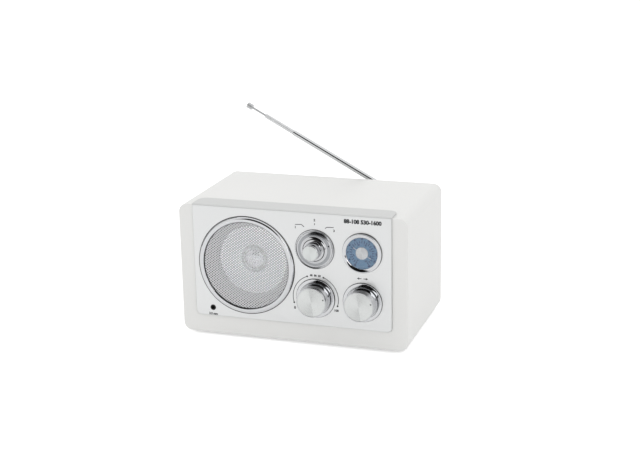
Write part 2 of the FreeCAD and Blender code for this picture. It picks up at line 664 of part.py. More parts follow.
def front_panel():
    """Silver moulding: a front sheet and a lip that lies on the cabinet's top, with screw bosses behind."""
    top = CABINET_TOP_Z + LIP_THICKNESS
    sheet = panel_outline(0.0, PANEL_FRONT_Y, CABINET_FRONT_Y, top)
    half = PANEL_WIDTH / 2
    lip = block(-half, half, PANEL_FRONT_Y, CABINET_FRONT_Y + LIP_DEPTH, CABINET_TOP_Z, top)
    back = [edge for edge in lip.Edges if is_along(edge, Z_AXIS) and edge.CenterOfMass.y > CABINET_FRONT_Y]
    lip = lip.makeFillet(LIP_CORNER, back)
    moulding = sheet.fuse(lip).removeSplitter()
    high = [edge for edge in moulding.Edges if edge.CenterOfMass.z > top - TOLERANCE]
    bend = [edge for edge in high if edge.CenterOfMass.y < PANEL_FRONT_Y + TOLERANCE]
    moulding = moulding.makeFillet(PANEL_BEND, bend)
    bosses = [disc(x, z, PANEL_BOSS_RADIUS, CABINET_FRONT_Y, CABINET_FRONT_Y + PANEL_BOSS_LENGTH)
              for x, z in screw_places()]
    collar = ring(DIAL_X, UPPER_ROW_Z, COLLAR_RADIUS, COLLAR_RADIUS - COLLAR_WALL,
                  CABINET_FRONT_Y, CABINET_FRONT_Y + COLLAR_DEPTH)
    moulding = moulding.fuse(bosses + [collar]).removeSplitter()
    cuts = control_holes(PANEL_FRONT_Y - EPS, CABINET_FRONT_Y + EPS)
    boss_end = CABINET_FRONT_Y + PANEL_BOSS_LENGTH
    cuts += [disc(x, z, SCREW_RADIUS, INNER_FRONT_Y - LONG_SCREW, boss_end + EPS) for x, z in screw_places()]
    return moulding.cut(cuts)


def face_plate():
    """Thin aluminium plate on the front of the moulding."""
    top = CABINET_TOP_Z + LIP_THICKNESS - PANEL_BEND - PLATE_MARGIN / 2
    plate = panel_outline(PLATE_MARGIN, FACE_Y, PANEL_FRONT_Y, top)
    return plate.cut(control_holes(FACE_Y - EPS, PANEL_FRONT_Y + EPS))


# Trim rings

def trim_ring(x, z, outer, inner, height, rebate, rebate_depth):
    """Chrome ring on the face plate: it rises in a curve to its inner lip, with a rebate behind the lip."""
    crown = inner + 0.25 * (outer - inner)
    start = (outer, 0.0)
    steps = [
        (outer, -0.3 * height),
        ((0.5 * (outer + crown) + 0.12 * (outer - inner), -0.82 * height), (crown, -height)),
        (inner + 0.05 * (outer - inner), -0.96 * height),
        (inner, -0.88 * height),
        (inner, -rebate_depth),
        (inner + rebate, -rebate_depth),
        (inner + rebate, 0.0),
    ]
    return turned(x, z, FACE_Y, start, steps)


def speaker_ring():
    """Trim ring round the grille."""
    return trim_ring(
        SPEAKER_X, SPEAKER_Z, RING_RADIUS, RING_INNER_RADIUS, RING_HEIGHT, RING_REBATE, GRILLE_THICKNESS)


def knob_bezel(x, z, inner):
    """Fixed chrome bezel round a knob."""
    start = (BEZEL_RADIUS, 0.0)
    steps = [
        (BEZEL_RADIUS, -0.5 * BEZEL_HEIGHT),
        ((BEZEL_RADIUS - 0.2, -0.86 * BEZEL_HEIGHT), (BEZEL_RADIUS - 0.7, -BEZEL_HEIGHT)),
        (inner + 0.3, -0.5 * BEZEL_HEIGHT),
        (inner, -0.35 * BEZEL_HEIGHT),
        (inner, 0.0),
    ]
    return turned(x, z, FACE_Y, start, steps)


def control_bezels():
    """Fixed bezels round the selector, the volume knob and the tuning knob."""
    return Part.Compound([
        knob_bezel(CONTROL_COLUMN_X, UPPER_ROW_Z, SELECTOR_BEZEL_INNER_RADIUS),
        knob_bezel(CONTROL_COLUMN_X, LOWER_ROW_Z, BEZEL_INNER_RADIUS),
        knob_bezel(DIAL_X, LOWER_ROW_Z, BEZEL_INNER_RADIUS)])


def dial_bezel():
    """Trim ring round the dial, with a rebate for the lens and the scale disc."""
    lens_front = DIAL_BEZEL_HEIGHT - DIAL_LENS_SETBACK
    rebate = DIAL_DISC_RADIUS - DIAL_BEZEL_INNER_RADIUS
    return trim_ring(
        DIAL_X, UPPER_ROW_Z, BEZEL_RADIUS, DIAL_BEZEL_INNER_RADIUS, DIAL_BEZEL_HEIGHT, rebate, lens_front)


# Loudspeaker

def speaker_grille():
    """Perforated sheet that lies in the trim ring's rebate; the fine perforation is left to the finish."""
    radius = RING_INNER_RADIUS + RING_REBATE
    return disc(SPEAKER_X, SPEAKER_Z, radius, FACE_Y - GRILLE_THICKNESS, FACE_Y)


def speaker_turned(start, steps):
    """Solid turned about the loudspeaker's axis, with depths behind the front wall's inner face."""
    return turned(SPEAKER_X, SPEAKER_Z, INNER_FRONT_Y, start, steps)


def speaker_screw_places():
    """Centres of the four loudspeaker screws."""
    reach = SPEAKER_SCREW_CIRCLE
    return [clock_point(SPEAKER_X, SPEAKER_Z, reach, 45 + 90 * k) for k in range(4)]


def speaker_basket():
    """Pressed steel frame: flange with ears, ribbed cone with windows, ledge for the spider, and floor."""
    sheet = BASKET_SHEET
    start = (BASKET_RADIUS, 0.0)
    steps = [
        (BASKET_RADIUS, sheet),
        (BASKET_MOUTH_RADIUS + sheet, sheet),
        (BASKET_LEDGE_OUTER + sheet, BASKET_LEDGE_DEPTH + sheet),
        (BASKET_LEDGE_INNER + sheet, BASKET_LEDGE_DEPTH + sheet),
        (BASKET_LEDGE_INNER + sheet, BASKET_DEPTH),
        (MAGNET_INNER_RADIUS, BASKET_DEPTH),
        (MAGNET_INNER_RADIUS, BASKET_DEPTH - sheet),
        (BASKET_LEDGE_INNER, BASKET_DEPTH - sheet),
        (BASKET_LEDGE_INNER, BASKET_LEDGE_DEPTH),
        (BASKET_LEDGE_OUTER, BASKET_LEDGE_DEPTH),
        (BASKET_MOUTH_RADIUS, 0.0),
    ]
    basket = speaker_turned(start, steps)
    places = speaker_screw_places()
    ears = [disc(x, z, SPEAKER_EAR_RADIUS, INNER_FRONT_Y, INNER_FRONT_Y + sheet) for x, z in places]
    bore = disc(SPEAKER_X, SPEAKER_Z, BASKET_MOUTH_RADIUS, INNER_FRONT_Y - EPS, INNER_FRONT_Y + sheet + EPS)
    basket = basket.fuse([ear.cut(bore) for ear in ears]).removeSplitter()
    holes = [disc(x, z, SCREW_RADIUS, INNER_FRONT_Y - EPS, INNER_FRONT_Y + 2 * sheet) for x, z in places]
    return basket.cut(holes + basket_windows())


def basket_windows():
    """Cutters for the openings between the basket's ribs."""
    y0 = INNER_FRONT_Y + 2.5 * BASKET_SHEET
    y1 = INNER_FRONT_Y + BASKET_LEDGE_DEPTH - BASKET_SHEET
    zone = ring(SPEAKER_X, SPEAKER_Z, BASKET_RADIUS, BASKET_LEDGE_INNER, y0, y1)
    ribs = []
    for k in range(BASKET_WINDOWS):
        rib = block(0, BASKET_RADIUS + EPS, y0 - EPS, y1 + EPS, -BASKET_RIB / 2, BASKET_RIB / 2)
        rib.rotate(Vector(0, 0, 0), Y_AXIS, (k + 0.5) * 360 / BASKET_WINDOWS)
        rib.translate(Vector(SPEAKER_X, 0, SPEAKER_Z))
        ribs.append(rib)
    return [zone.cut(ribs)]


def speaker_surround():
    """Rubber half roll between basket and cone, with a flat lip glued on the basket's flange."""
    mouth, inner, thick = BASKET_MOUTH_RADIUS, SURROUND_INNER_RADIUS, SURROUND_THICKNESS
    middle = (mouth + inner) / 2
    start = (SURROUND_LIP_RADIUS, 0.0)
    steps = [
        (SURROUND_LIP_RADIUS, -thick),
        (mouth - thick, -thick),
        ((middle, -SURROUND_ROLL_HEIGHT), (inner + thick, -thick)),
        (inner, -thick),
        (inner, 0.0),
        (inner + 2 * thick, 0.0),
        ((middle, thick - SURROUND_ROLL_HEIGHT), (mouth - 2 * thick, 0.0)),
    ]
    return speaker_turned(start, steps)


def cone_front_arc():
    """Three (radius, depth) points of the cone's front face: edge, middle and neck."""
    neck = COIL_FORMER_RADIUS + COIL_FORMER_WALL
    edge = CONE_RADIUS - CONE_THICKNESS
    middle = ((edge + neck) / 2, CONE_DEPTH / 2 + CONE_FLARE - CONE_THICKNESS)
    return (edge, -CONE_THICKNESS), middle, (neck, CONE_DEPTH - CONE_THICKNESS)


def speaker_cone():
    """Paper cone with a gentle flare."""
    edge, middle, neck = cone_front_arc()
    thick = CONE_THICKNESS
    start = (CONE_RADIUS, edge[1])
    steps = [
        (CONE_RADIUS, edge[1] + thick),
        ((middle[0] + thick / 2, middle[1] + thick), (neck[0], neck[1] + thick)),
        neck,
        (middle, edge),
    ]
    return speaker_turned(start, steps)


def cone_front_depth(radius):
    """Depth of the cone's front face at a radius."""
    edge, middle, neck = [Vector(point[0], point[1], 0) for point in cone_front_arc()]
    circle = Part.Arc(edge, middle, neck).toShape().Curve
    return circle.Center.y + math.sqrt(circle.Radius ** 2 - (radius - circle.Center.x) ** 2)


def speaker_dust_cap():
    """Domed cap over the voice coil, glued on the cone."""
    rim, rise, thick = DUST_CAP_RADIUS, DUST_CAP_HEIGHT, DUST_CAP_THICKNESS
    seat = cone_front_depth(rim)
    radius = (rim ** 2 + rise ** 2) / (2 * rise)
    centre = seat - rise + radius
    inner = radius - thick
    inner_rim = math.sqrt(inner ** 2 - (centre - seat) ** 2)
    half, inner_half = rim / 2, inner_rim / 2
    start = (rim, seat)
    steps = [
        ((half, centre - math.sqrt(radius ** 2 - half ** 2)), (0.0, centre - radius)),
        (0.0, centre - inner),
        ((inner_half, centre - math.sqrt(inner ** 2 - inner_half ** 2)), (inner_rim, seat)),
    ]
    return speaker_turned(start, steps)


def voice_coil():
    """Former with its winding, glued in the cone's neck."""
    inner = COIL_FORMER_RADIUS
    outer = inner + COIL_FORMER_WALL
    front = CONE_DEPTH - CONE_THICKNESS
    start = (inner, front)
    steps = [
        (outer, front),
        (outer, COIL_END_DEPTH - COIL_WINDING_LENGTH),
        (outer + COIL_WINDING, COIL_END_DEPTH - COIL_WINDING_LENGTH),
        (outer + COIL_WINDING, COIL_END_DEPTH),
        (inner, COIL_END_DEPTH),
    ]
    return speaker_turned(start, steps)


def speaker_spider():
    """Corrugated cloth disc that centres the voice coil."""
    inner = COIL_FORMER_RADIUS + COIL_FORMER_WALL
    outer = BASKET_LEDGE_OUTER - LOOSE_GAP
    flat = outer - (BASKET_LEDGE_OUTER - BASKET_LEDGE_INNER)
    base = BASKET_LEDGE_DEPTH - SPIDER_THICKNESS
    pitch = (flat - inner) / (2 * SPIDER_WAVES)
    front, back = [], []
    for k in range(2 * SPIDER_WAVES):
        radius = flat - (k + 0.5) * pitch
        lift = -SPIDER_WAVE_HEIGHT if k % 2 else SPIDER_WAVE_HEIGHT
        front.append((radius, base + lift))
        back.append((radius, base + lift + SPIDER_THICKNESS))
    start = (outer, base)
    steps = [(flat, base)] + front + [(inner, base), (inner, base + SPIDER_THICKNESS)]
    steps += back[::-1] + [(flat, base + SPIDER_THICKNESS), (outer, base + SPIDER_THICKNESS)]
    return speaker_turned(start, steps)


def speaker_yoke():
    """Steel front plate, and back plate with its pole piece."""
    winding = COIL_FORMER_RADIUS + COIL_FORMER_WALL + COIL_WINDING
    front = BASKET_DEPTH
    magnet_front = front + YOKE_FRONT
    magnet_back = magnet_front + MAGNET_THICKNESS
    front_plate = ring(
        SPEAKER_X, SPEAKER_Z, YOKE_RADIUS, winding + YOKE_GAP,
        INNER_FRONT_Y + front, INNER_FRONT_Y + magnet_front)
    start = (0.0, front)
    steps = [
        (POLE_RADIUS, front),
        (POLE_RADIUS, magnet_back),
        (YOKE_RADIUS, magnet_back),
        (YOKE_RADIUS, magnet_back + YOKE_BACK),
        (0.0, magnet_back + YOKE_BACK),
    ]
    return Part.Compound([front_plate, speaker_turned(start, steps)])


def speaker_magnet():
    """Ferrite ring between the yoke's plates."""
    front = INNER_FRONT_Y + BASKET_DEPTH + YOKE_FRONT
    return ring(SPEAKER_X, SPEAKER_Z, MAGNET_RADIUS, MAGNET_INNER_RADIUS, front, front + MAGNET_THICKNESS)


# Knobs and their shafts

def knob(x, z):
    """Hollow chrome knob with a hub bored for its shaft and a shallow seat for its face."""
    front, base = -KNOB_PROUD, -KNOB_GAP
    seat = KNOB_FRONT_RADIUS - KNOB_RIM
    face_back = front + KNOB_FACE_THICKNESS
    floor = face_back + KNOB_WALL
    round_middle = KNOB_ROUND * (1 - math.sqrt(0.5))
    start = (0.0, face_back)
    steps = [
        (seat, face_back),
        (seat, front + KNOB_RIM_CHAMFER),
        (seat + KNOB_RIM_CHAMFER, front),
        (KNOB_FRONT_RADIUS - KNOB_ROUND, front),
        ((KNOB_FRONT_RADIUS - round_middle, front + round_middle), (KNOB_FRONT_RADIUS, front + KNOB_ROUND)),
        (KNOB_BASE_RADIUS, base),
        (KNOB_BASE_RADIUS - KNOB_WALL, base),
        (KNOB_FRONT_RADIUS - KNOB_WALL, floor),
        (KNOB_HUB_RADIUS, floor),
        (KNOB_HUB_RADIUS, -KNOB_HUB_GAP),
        (SHAFT_RADIUS, -KNOB_HUB_GAP),
        (SHAFT_RADIUS, floor),
        (0.0, floor),
    ]
    return turned(x, z, FACE_Y, start, steps)


def knob_face(x, z):
    """Spun aluminium disc in the knob's front, with its pointer dot."""
    front = FACE_Y - KNOB_PROUD
    face = disc(x, z, KNOB_FRONT_RADIUS - KNOB_RIM, front, front + KNOB_FACE_THICKNESS)
    dot_x, dot_z = clock_point(x, z, KNOB_DOT_DISTANCE, KNOB_DOT_ANGLE)
    return face.cut(disc(dot_x, dot_z, KNOB_DOT_RADIUS, front - EPS, front + KNOB_FACE_THICKNESS / 2))


def knob_shaft_front():
    """Where a knob's shaft ends in the knob's hub."""
    return FACE_Y - KNOB_PROUD + KNOB_FACE_THICKNESS + KNOB_WALL


def volume_knob():
    """Volume knob's chrome body."""
    return knob(CONTROL_COLUMN_X, LOWER_ROW_Z)


def volume_knob_face():
    """Volume knob's spun face."""
    return knob_face(CONTROL_COLUMN_X, LOWER_ROW_Z)


def tuning_knob():
    """Tuning knob's chrome body."""
    return knob(DIAL_X, LOWER_ROW_Z)


def tuning_knob_face():
    """Tuning knob's spun face."""
    return knob_face(DIAL_X, LOWER_ROW_Z)


def bushed_body(x, z, radius, depth, shaft_radius):
    """Round control body on the board, with a bush that carries the shaft and three terminals."""
    front = BOARD_FRONT_Y - depth
    body = disc(x, z, radius, front, BOARD_FRONT_Y)
    bush = disc(x, z, POT_BUSH_RADIUS, front - POT_BUSH_LENGTH, front)
    tabs = []
    tab_front = BOARD_FRONT_Y - TERMINAL_WIDTH
    for side in (-1, 0, 1):
        left = x + side * TERMINAL_SPACING - TERMINAL_WIDTH / 2
        tabs.append(block(left, left + TERMINAL_WIDTH, tab_front, BOARD_FRONT_Y,
                          z - radius - TERMINAL_LENGTH, z - radius / 2))
    bore = disc(x, z, shaft_radius + RUNNING_FIT, front - POT_BUSH_LENGTH - EPS, BOARD_FRONT_Y - depth / 2)
    return body.fuse([bush] + tabs).removeSplitter().cut(bore)


def control_shaft(x, z, depth):
    """Shaft from a knob's hub into its control's bush."""
    return disc(x, z, SHAFT_RADIUS, knob_shaft_front(), BOARD_FRONT_Y - depth / 2 - LOOSE_GAP)


def volume_shaft():
    """Volume control's shaft."""
    return control_shaft(CONTROL_COLUMN_X, LOWER_ROW_Z, POT_DEPTH)


def volume_control():
    """Potentiometer with its mains switch."""
    return bushed_body(CONTROL_COLUMN_X, LOWER_ROW_Z, POT_RADIUS, POT_DEPTH, SHAFT_RADIUS)


def selector_knob():
    """Chrome selector: a dished flange that sweeps up to a step and a straight grip."""
    front = -KNOB_PROUD
    edge = -KNOB_GAP
    floor = front + SELECTOR_CAP_THICKNESS + KNOB_WALL
    flange_top = edge - SELECTOR_FLANGE_EDGE
    step_top = -(KNOB_GAP + SELECTOR_STEP_HEIGHT)
    middle = (SELECTOR_STEP_RADIUS + SELECTOR_FLANGE_RADIUS) / 2
    sag_depth = flange_top + SELECTOR_FLANGE_DISH * (step_top - flange_top)
    start = (0.0, front + SELECTOR_CAP_THICKNESS)
    steps = [
        (SELECTOR_CAP_RADIUS, front + SELECTOR_CAP_THICKNESS),
        (SELECTOR_CAP_RADIUS, front),
        (SELECTOR_FRONT_RADIUS - SELECTOR_CHAMFER, front),
        (SELECTOR_FRONT_RADIUS, front + SELECTOR_CHAMFER),
        (SELECTOR_STEM_RADIUS, step_top),
        (SELECTOR_STEP_RADIUS, step_top),
        (SELECTOR_STEP_RADIUS, step_top + SELECTOR_STEP_EDGE),
        ((middle - SELECTOR_FLANGE_SHIFT, sag_depth), (SELECTOR_FLANGE_RADIUS, flange_top)),
        (SELECTOR_FLANGE_RADIUS, edge),
        (SELECTOR_STEM_RADIUS - KNOB_WALL, edge),
        (SELECTOR_STEM_RADIUS - KNOB_WALL, floor),
        (KNOB_HUB_RADIUS, floor),
        (KNOB_HUB_RADIUS, -KNOB_HUB_GAP),
        (SHAFT_RADIUS, -KNOB_HUB_GAP),
        (SHAFT_RADIUS, floor),
        (0.0, floor),
    ]
    flange = turned(CONTROL_COLUMN_X, UPPER_ROW_Z, FACE_Y, start, steps)
    dot_x, dot_z = clock_point(CONTROL_COLUMN_X, UPPER_ROW_Z, SELECTOR_DOT_DISTANCE, SELECTOR_DOT_ANGLE)
    dot_floor = FACE_Y - KNOB_GAP - SELECTOR_DOT_FLOOR
    return flange.cut(disc(dot_x, dot_z, SELECTOR_DOT_RADIUS, FACE_Y - KNOB_PROUD, dot_floor))


def selector_cap():
    """Spun cap in the selector's front."""
    front = FACE_Y - KNOB_PROUD
    return disc(CONTROL_COLUMN_X, UPPER_ROW_Z, SELECTOR_CAP_RADIUS, front, front + SELECTOR_CAP_THICKNESS)


def selector_shaft():
    """Selector's shaft, which ends in the knob's hub and in the band switch."""
    front = FACE_Y - KNOB_PROUD + SELECTOR_CAP_THICKNESS + KNOB_WALL
    back = BOARD_FRONT_Y - SWITCH_DEPTH / 2 - LOOSE_GAP
    return disc(CONTROL_COLUMN_X, UPPER_ROW_Z, SHAFT_RADIUS, front, back)


def band_switch():
    """Rotary band switch."""
    return bushed_body(CONTROL_COLUMN_X, UPPER_ROW_Z, SWITCH_RADIUS, SWITCH_DEPTH, SHAFT_RADIUS)


# Dial drive

def involute(angle):
    """Involute function of a pressure angle."""
    return math.tan(angle) - angle


def gear_points(teeth, tooth_angle):
    """Outline of a spur gear, as (x, z) offsets, with one tooth centred on an angle from +X towards +Z."""
    pitch = GEAR_MODULE * teeth / 2
    base = pitch * math.cos(PRESSURE_ANGLE)
    tip = pitch + GEAR_MODULE
    root = pitch - 1.25 * GEAR_MODULE
    half_pitch = (math.pi * GEAR_MODULE - GEAR_BACKLASH) / (4 * pitch)

    def half_angle(radius):
        """Half the tooth's angle at a radius."""
        pressure = math.acos(min(1.0, base / radius))
        return half_pitch + involute(PRESSURE_ANGLE) - involute(pressure)

    flank = [root] if root >= base else [root, base]
    flank += [(flank[-1] + tip) / 2, tip]
    points = []
    for k in range(teeth):
        centre = tooth_angle + 2 * math.pi * k / teeth
        for radius in flank:
            points.append((radius, centre - half_angle(max(radius, base))))
        for radius in reversed(flank):
            points.append((radius, centre + half_angle(max(radius, base))))
    return [(radius * math.cos(angle), radius * math.sin(angle)) for radius, angle in points]


def gear(x, z, teeth, tooth_angle, bore, hub_radius, hub_front, hub_back):
    """Spur gear with a hub, lying in the gear plane."""
    points = [(x + px, z + pz) for px, pz in gear_points(teeth, tooth_angle)]
    body = prism_y(points, GEAR_FRONT_Y, GEAR_BACK_Y)
    hub = disc(x, z, hub_radius, GEAR_FRONT_Y - hub_front, GEAR_BACK_Y + hub_back)
    cut = disc(x, z, bore, GEAR_FRONT_Y - hub_front - EPS, GEAR_BACK_Y + hub_back + EPS)
    return body.fuse(hub).removeSplitter().cut(cut)


def tuning_shaft():
    """Tuning shaft, from the knob's hub through pinion and bush."""
    end = BRACKET_FRONT_Y + BUSH_LENGTH + SHAFT_PAST_BUSH
    return disc(DIAL_X, LOWER_ROW_Z, SHAFT_RADIUS, knob_shaft_front(), end)


def tuning_pinion():
    """Pinion pressed on the tuning shaft, one tooth towards the idler."""
    gap = BRACKET_FRONT_Y - LOOSE_GAP - GEAR_BACK_Y
    return gear(DIAL_X, LOWER_ROW_Z, PINION_TEETH, math.pi / 2, SHAFT_RADIUS, PINION_HUB_RADIUS, 0.0, gap)


def idler_gear():
    """Idler that turns on a fixed pin, one gap towards the pinion."""
    tooth = -math.pi / 2 + math.pi / IDLER_TEETH
    gap = BRACKET_FRONT_Y - LOOSE_GAP - GEAR_BACK_Y
    bore = IDLER_PIN_RADIUS + RUNNING_FIT
    return gear(DIAL_X, IDLER_Z, IDLER_TEETH, tooth, bore, IDLER_HUB_RADIUS, 0.0, gap)


def dial_gear():
    """Large gear on the dial's shaft, meshed with the idler."""
    tooth_offset = math.pi / DIAL_TEETH if IDLER_TEETH % 2 else 0.0
    tooth = -math.pi / 2 + tooth_offset
    gap = BRACKET_FRONT_Y - LOOSE_GAP - GEAR_BACK_Y
    hub = DIAL_GEAR_HUB_RADIUS
    return gear(DIAL_X, UPPER_ROW_Z, DIAL_TEETH, tooth, DIAL_SHAFT_RADIUS, hub, DIAL_GEAR_HUB_FRONT, gap)


def gear_bracket():
    """Steel bracket behind the gears, with four legs back to the board."""
    left, right = DIAL_X - BRACKET_SIDE, DIAL_X + BRACKET_SIDE
    bottom, top = LOWER_ROW_Z - BRACKET_END, UPPER_ROW_Z + BRACKET_END
    plate = block(left, right, BRACKET_FRONT_Y, BRACKET_BACK_Y, bottom, top)
    legs = []
    for x in (left, right - BRACKET_THICKNESS):
        for z in (bottom, top - BRACKET_END):
            legs.append(block(x, x + BRACKET_THICKNESS, BRACKET_BACK_Y, BOARD_FRONT_Y, z, z + BRACKET_END))
    y0, y1 = BRACKET_FRONT_Y - EPS, BRACKET_BACK_Y + EPS
    holes = [disc(DIAL_X, LOWER_ROW_Z, BUSH_RADIUS, y0, y1)]
    holes.append(disc(DIAL_X, IDLER_Z, IDLER_PIN_RADIUS, y0, y1))
    holes.append(disc(DIAL_X, UPPER_ROW_Z, DIAL_SHAFT_RADIUS + LOOSE_GAP, y0, y1))
    return plate.fuse(legs).removeSplitter().cut(holes)


def idler_pin():
    """Headed pin riveted in the bracket, which carries the idler."""
    front = GEAR_FRONT_Y - LOOSE_GAP
    upset = IDLER_PIN_RADIUS + IDLER_PIN_HEAD
    shank = disc(DIAL_X, IDLER_Z, IDLER_PIN_RADIUS, front, BRACKET_BACK_Y)
    head = disc(DIAL_X, IDLER_Z, upset, front - IDLER_PIN_HEAD, front)
    tail = disc(DIAL_X, IDLER_Z, upset, BRACKET_BACK_Y, BRACKET_BACK_Y + IDLER_PIN_HEAD)
    return shank.fuse([head, tail]).removeSplitter()


def tuning_bush():
    """Brass bush pressed in the bracket for the tuning shaft."""
    back = BRACKET_FRONT_Y + BUSH_LENGTH
    sleeve = disc(DIAL_X, LOWER_ROW_Z, BUSH_RADIUS, BRACKET_FRONT_Y, back)
    collar_end = BRACKET_BACK_Y + BUSH_COLLAR
    collar = disc(DIAL_X, LOWER_ROW_Z, BUSH_RADIUS + BUSH_COLLAR, BRACKET_BACK_Y, collar_end)
    bore = disc(DIAL_X, LOWER_ROW_Z, SHAFT_RADIUS + RUNNING_FIT, BRACKET_FRONT_Y - EPS, back + EPS)
    return sleeve.fuse(collar).removeSplitter().cut(bore)


def dial_stack():
    """Depths of the dial's layers before the face plate: lens back, hub front, pointer front."""
    lens_back = DIAL_BEZEL_HEIGHT - DIAL_LENS_SETBACK - DIAL_LENS_THICKNESS
    hub_front = lens_back - LOOSE_GAP
    pointer_front = hub_front - DIAL_HUB_THICKNESS
    return lens_back, hub_front, pointer_front


def dial_shaft():
    """Shaft from the pointer through the dial gear into the tuning capacitor."""
    pointer_front = dial_stack()[2]
    return disc(DIAL_X, UPPER_ROW_Z, DIAL_SHAFT_RADIUS, FACE_Y - pointer_front + DIAL_POINTER_THICKNESS,
                BRACKET_BACK_Y + TUNER_BORE_DEPTH - LOOSE_GAP)


def tuning_capacitor():
    """Variable capacitor between bracket and board, which carries the dial shaft."""
    half = TUNER_SIDE / 2
    body = rounded_board(DIAL_X - half, DIAL_X + half, UPPER_ROW_Z - half, UPPER_ROW_Z + half,
                         BRACKET_BACK_Y, BOARD_FRONT_Y, TUNER_CORNER)
    bore_end = BRACKET_BACK_Y + TUNER_BORE_DEPTH
    bore = disc(DIAL_X, UPPER_ROW_Z, DIAL_SHAFT_RADIUS + RUNNING_FIT, BRACKET_BACK_Y - EPS, bore_end)
    return body.cut(bore)


# Dial

def dial_lens():
    """Clear window in the bezel's rebate."""
    front = FACE_Y - DIAL_BEZEL_HEIGHT + DIAL_LENS_SETBACK
    return disc(DIAL_X, UPPER_ROW_Z, DIAL_DISC_RADIUS, front, front + DIAL_LENS_THICKNESS)


def dial_scale():
    """Blue scale disc that lies on the face plate inside the bezel."""
    inner = DIAL_SHAFT_RADIUS + LOOSE_GAP
    return ring(DIAL_X, UPPER_ROW_Z, DIAL_DISC_RADIUS, inner, FACE_Y - DIAL_DISC_THICKNESS, FACE_Y)


def dial_pointer():
    """Two-ended pointer with a round boss under the hub cap."""
    pointer_front = dial_stack()[2]
    y0 = FACE_Y - pointer_front
    y1 = y0 + DIAL_POINTER_THICKNESS
    bar = block(DIAL_X - DIAL_POINTER_WIDTH / 2, DIAL_X + DIAL_POINTER_WIDTH / 2, y0, y1,
                UPPER_ROW_Z - DIAL_POINTER_REACH, UPPER_ROW_Z + DIAL_POINTER_REACH)
    bar.rotate(Vector(DIAL_X, 0, UPPER_ROW_Z), Y_AXIS, DIAL_POINTER_ANGLE)
    return bar.fuse(disc(DIAL_X, UPPER_ROW_Z, DIAL_HUB_RADIUS - 1.0, y0, y1)).removeSplitter()


def dial_hub_cap():
    """Spun aluminium cap in front of the pointer."""
    hub_front = dial_stack()[1]
    y0 = FACE_Y - hub_front
    cap = disc(DIAL_X, UPPER_ROW_Z, DIAL_HUB_RADIUS, y0, y0 + DIAL_HUB_THICKNESS)
    rims = [edge for edge in cap.Edges if edge.CenterOfMass.y < y0 + TOLERANCE and not is_along(edge, Y_AXIS)]
    return cap.makeChamfer(DIAL_HUB_CHAMFER, rims)


def lamp_board():
    """Ring board on the moulding's collar with its small lamps."""
    front = CABINET_FRONT_Y + COLLAR_DEPTH
    back = front + LAMP_BOARD_THICKNESS
    board = ring(DIAL_X, UPPER_ROW_Z, COLLAR_RADIUS, LAMP_BOARD_HOLE_RADIUS, front, back)
    lamps = []
    for k in range(LAMP_COUNT):
        x, z = clock_point(DIAL_X, UPPER_ROW_Z, LAMP_CIRCLE_RADIUS, 45 + 360 * k / LAMP_COUNT)
        lamps.append(disc(x, z, LAMP_RADIUS, front - LAMP_HEIGHT, front))
    return board.fuse(lamps).removeSplitter()


# Line-in jack

def line_in_jack():
    """Jack whose threaded bush stands in the front, with its nut behind the moulding."""
    half = JACK_BODY / 2
    nut_back = CABINET_FRONT_Y + JACK_NUT_THICKNESS
    body = block(JACK_X - half, JACK_X + half, nut_back, nut_back + JACK_DEPTH, JACK_Z - half, JACK_Z + half)
    bush = disc(JACK_X, JACK_Z, JACK_BUSH_RADIUS, FACE_Y - JACK_PROUD, nut_back)
    bore = disc(JACK_X, JACK_Z, JACK_BORE_RADIUS, FACE_Y - EPS, nut_back + JACK_DEPTH - JACK_BORE_FLOOR)
    nut = hex_nut(JACK_X, JACK_Z, JACK_NUT_ACROSS, JACK_BUSH_RADIUS, CABINET_FRONT_Y, nut_back)
    return Part.Compound([body.fuse(bush).removeSplitter().cut(bore), nut])


# Main board

def board_screw_places():
    """Centres of the board's four standoffs."""
    return [(x, z) for x in STANDOFF_XS for z in STANDOFF_ZS]


def board_standoffs():
    """Sleeves between the front wall and the board."""
    return Part.Compound([ring(x, z, STANDOFF_RADIUS, SCREW_RADIUS, INNER_FRONT_Y, BOARD_FRONT_Y)
                          for x, z in board_screw_places()])


def main_board():
    """Circuit board with its capacitors, its coil cans and the holders of the ferrite rod."""
    board = block(BOARD_LEFT_X, BOARD_RIGHT_X, BOARD_FRONT_Y, BOARD_BACK_Y, BOARD_BOTTOM_Z, BOARD_TOP_Z)
    board = board.cut([disc(x, z, SCREW_RADIUS, BOARD_FRONT_Y - EPS, BOARD_BACK_Y + EPS)
                       for x, z in board_screw_places()])
    return Part.Compound([board] + board_capacitors() + coil_cans() + ferrite_holders())


def board_capacitors():
    """Electrolytic capacitors in a row on the board's back."""
    x = BOARD_LEFT_X + 2 * STANDOFF_MARGIN
    cans = []
    for radius, length in CAPACITOR_SIZES:
        x += radius
        top = BOARD_BACK_Y + length
        can = disc(x, LOWER_ROW_Z, radius, BOARD_BACK_Y, top)
        rims = [edge for edge in can.Edges if edge.CenterOfMass.y > top - TOLERANCE]
        cans.append(can.makeChamfer(CAPACITOR_CHAMFER, rims))
        x += radius + CAPACITOR_GAP
    return cans


def coil_cans():
    """Screened coil cans in a row, each with the well of its core."""
    z = (BOARD_BOTTOM_Z + BOARD_TOP_Z) / 2
    half = COIL_CAN_SIDE / 2
    top = BOARD_BACK_Y + COIL_CAN_HEIGHT
    cans = []
    for k in range(COIL_CAN_COUNT):
        x = DIAL_X + (k - COIL_CAN_COUNT + 1) * COIL_CAN_PITCH
        can = block(x - half, x + half, BOARD_BACK_Y, top, z - half, z + half)
        cans.append(can.cut(disc(x, z, COIL_WELL_RADIUS, top - COIL_WELL_DEPTH, top + EPS)))
    return cans


def along_x(x0, x1, radius):
    """Cylinder along X on the ferrite rod's axis."""
    return Part.makeCylinder(radius, x1 - x0, Vector(x0, FERRITE_Y, FERRITE_Z), X_AXIS)


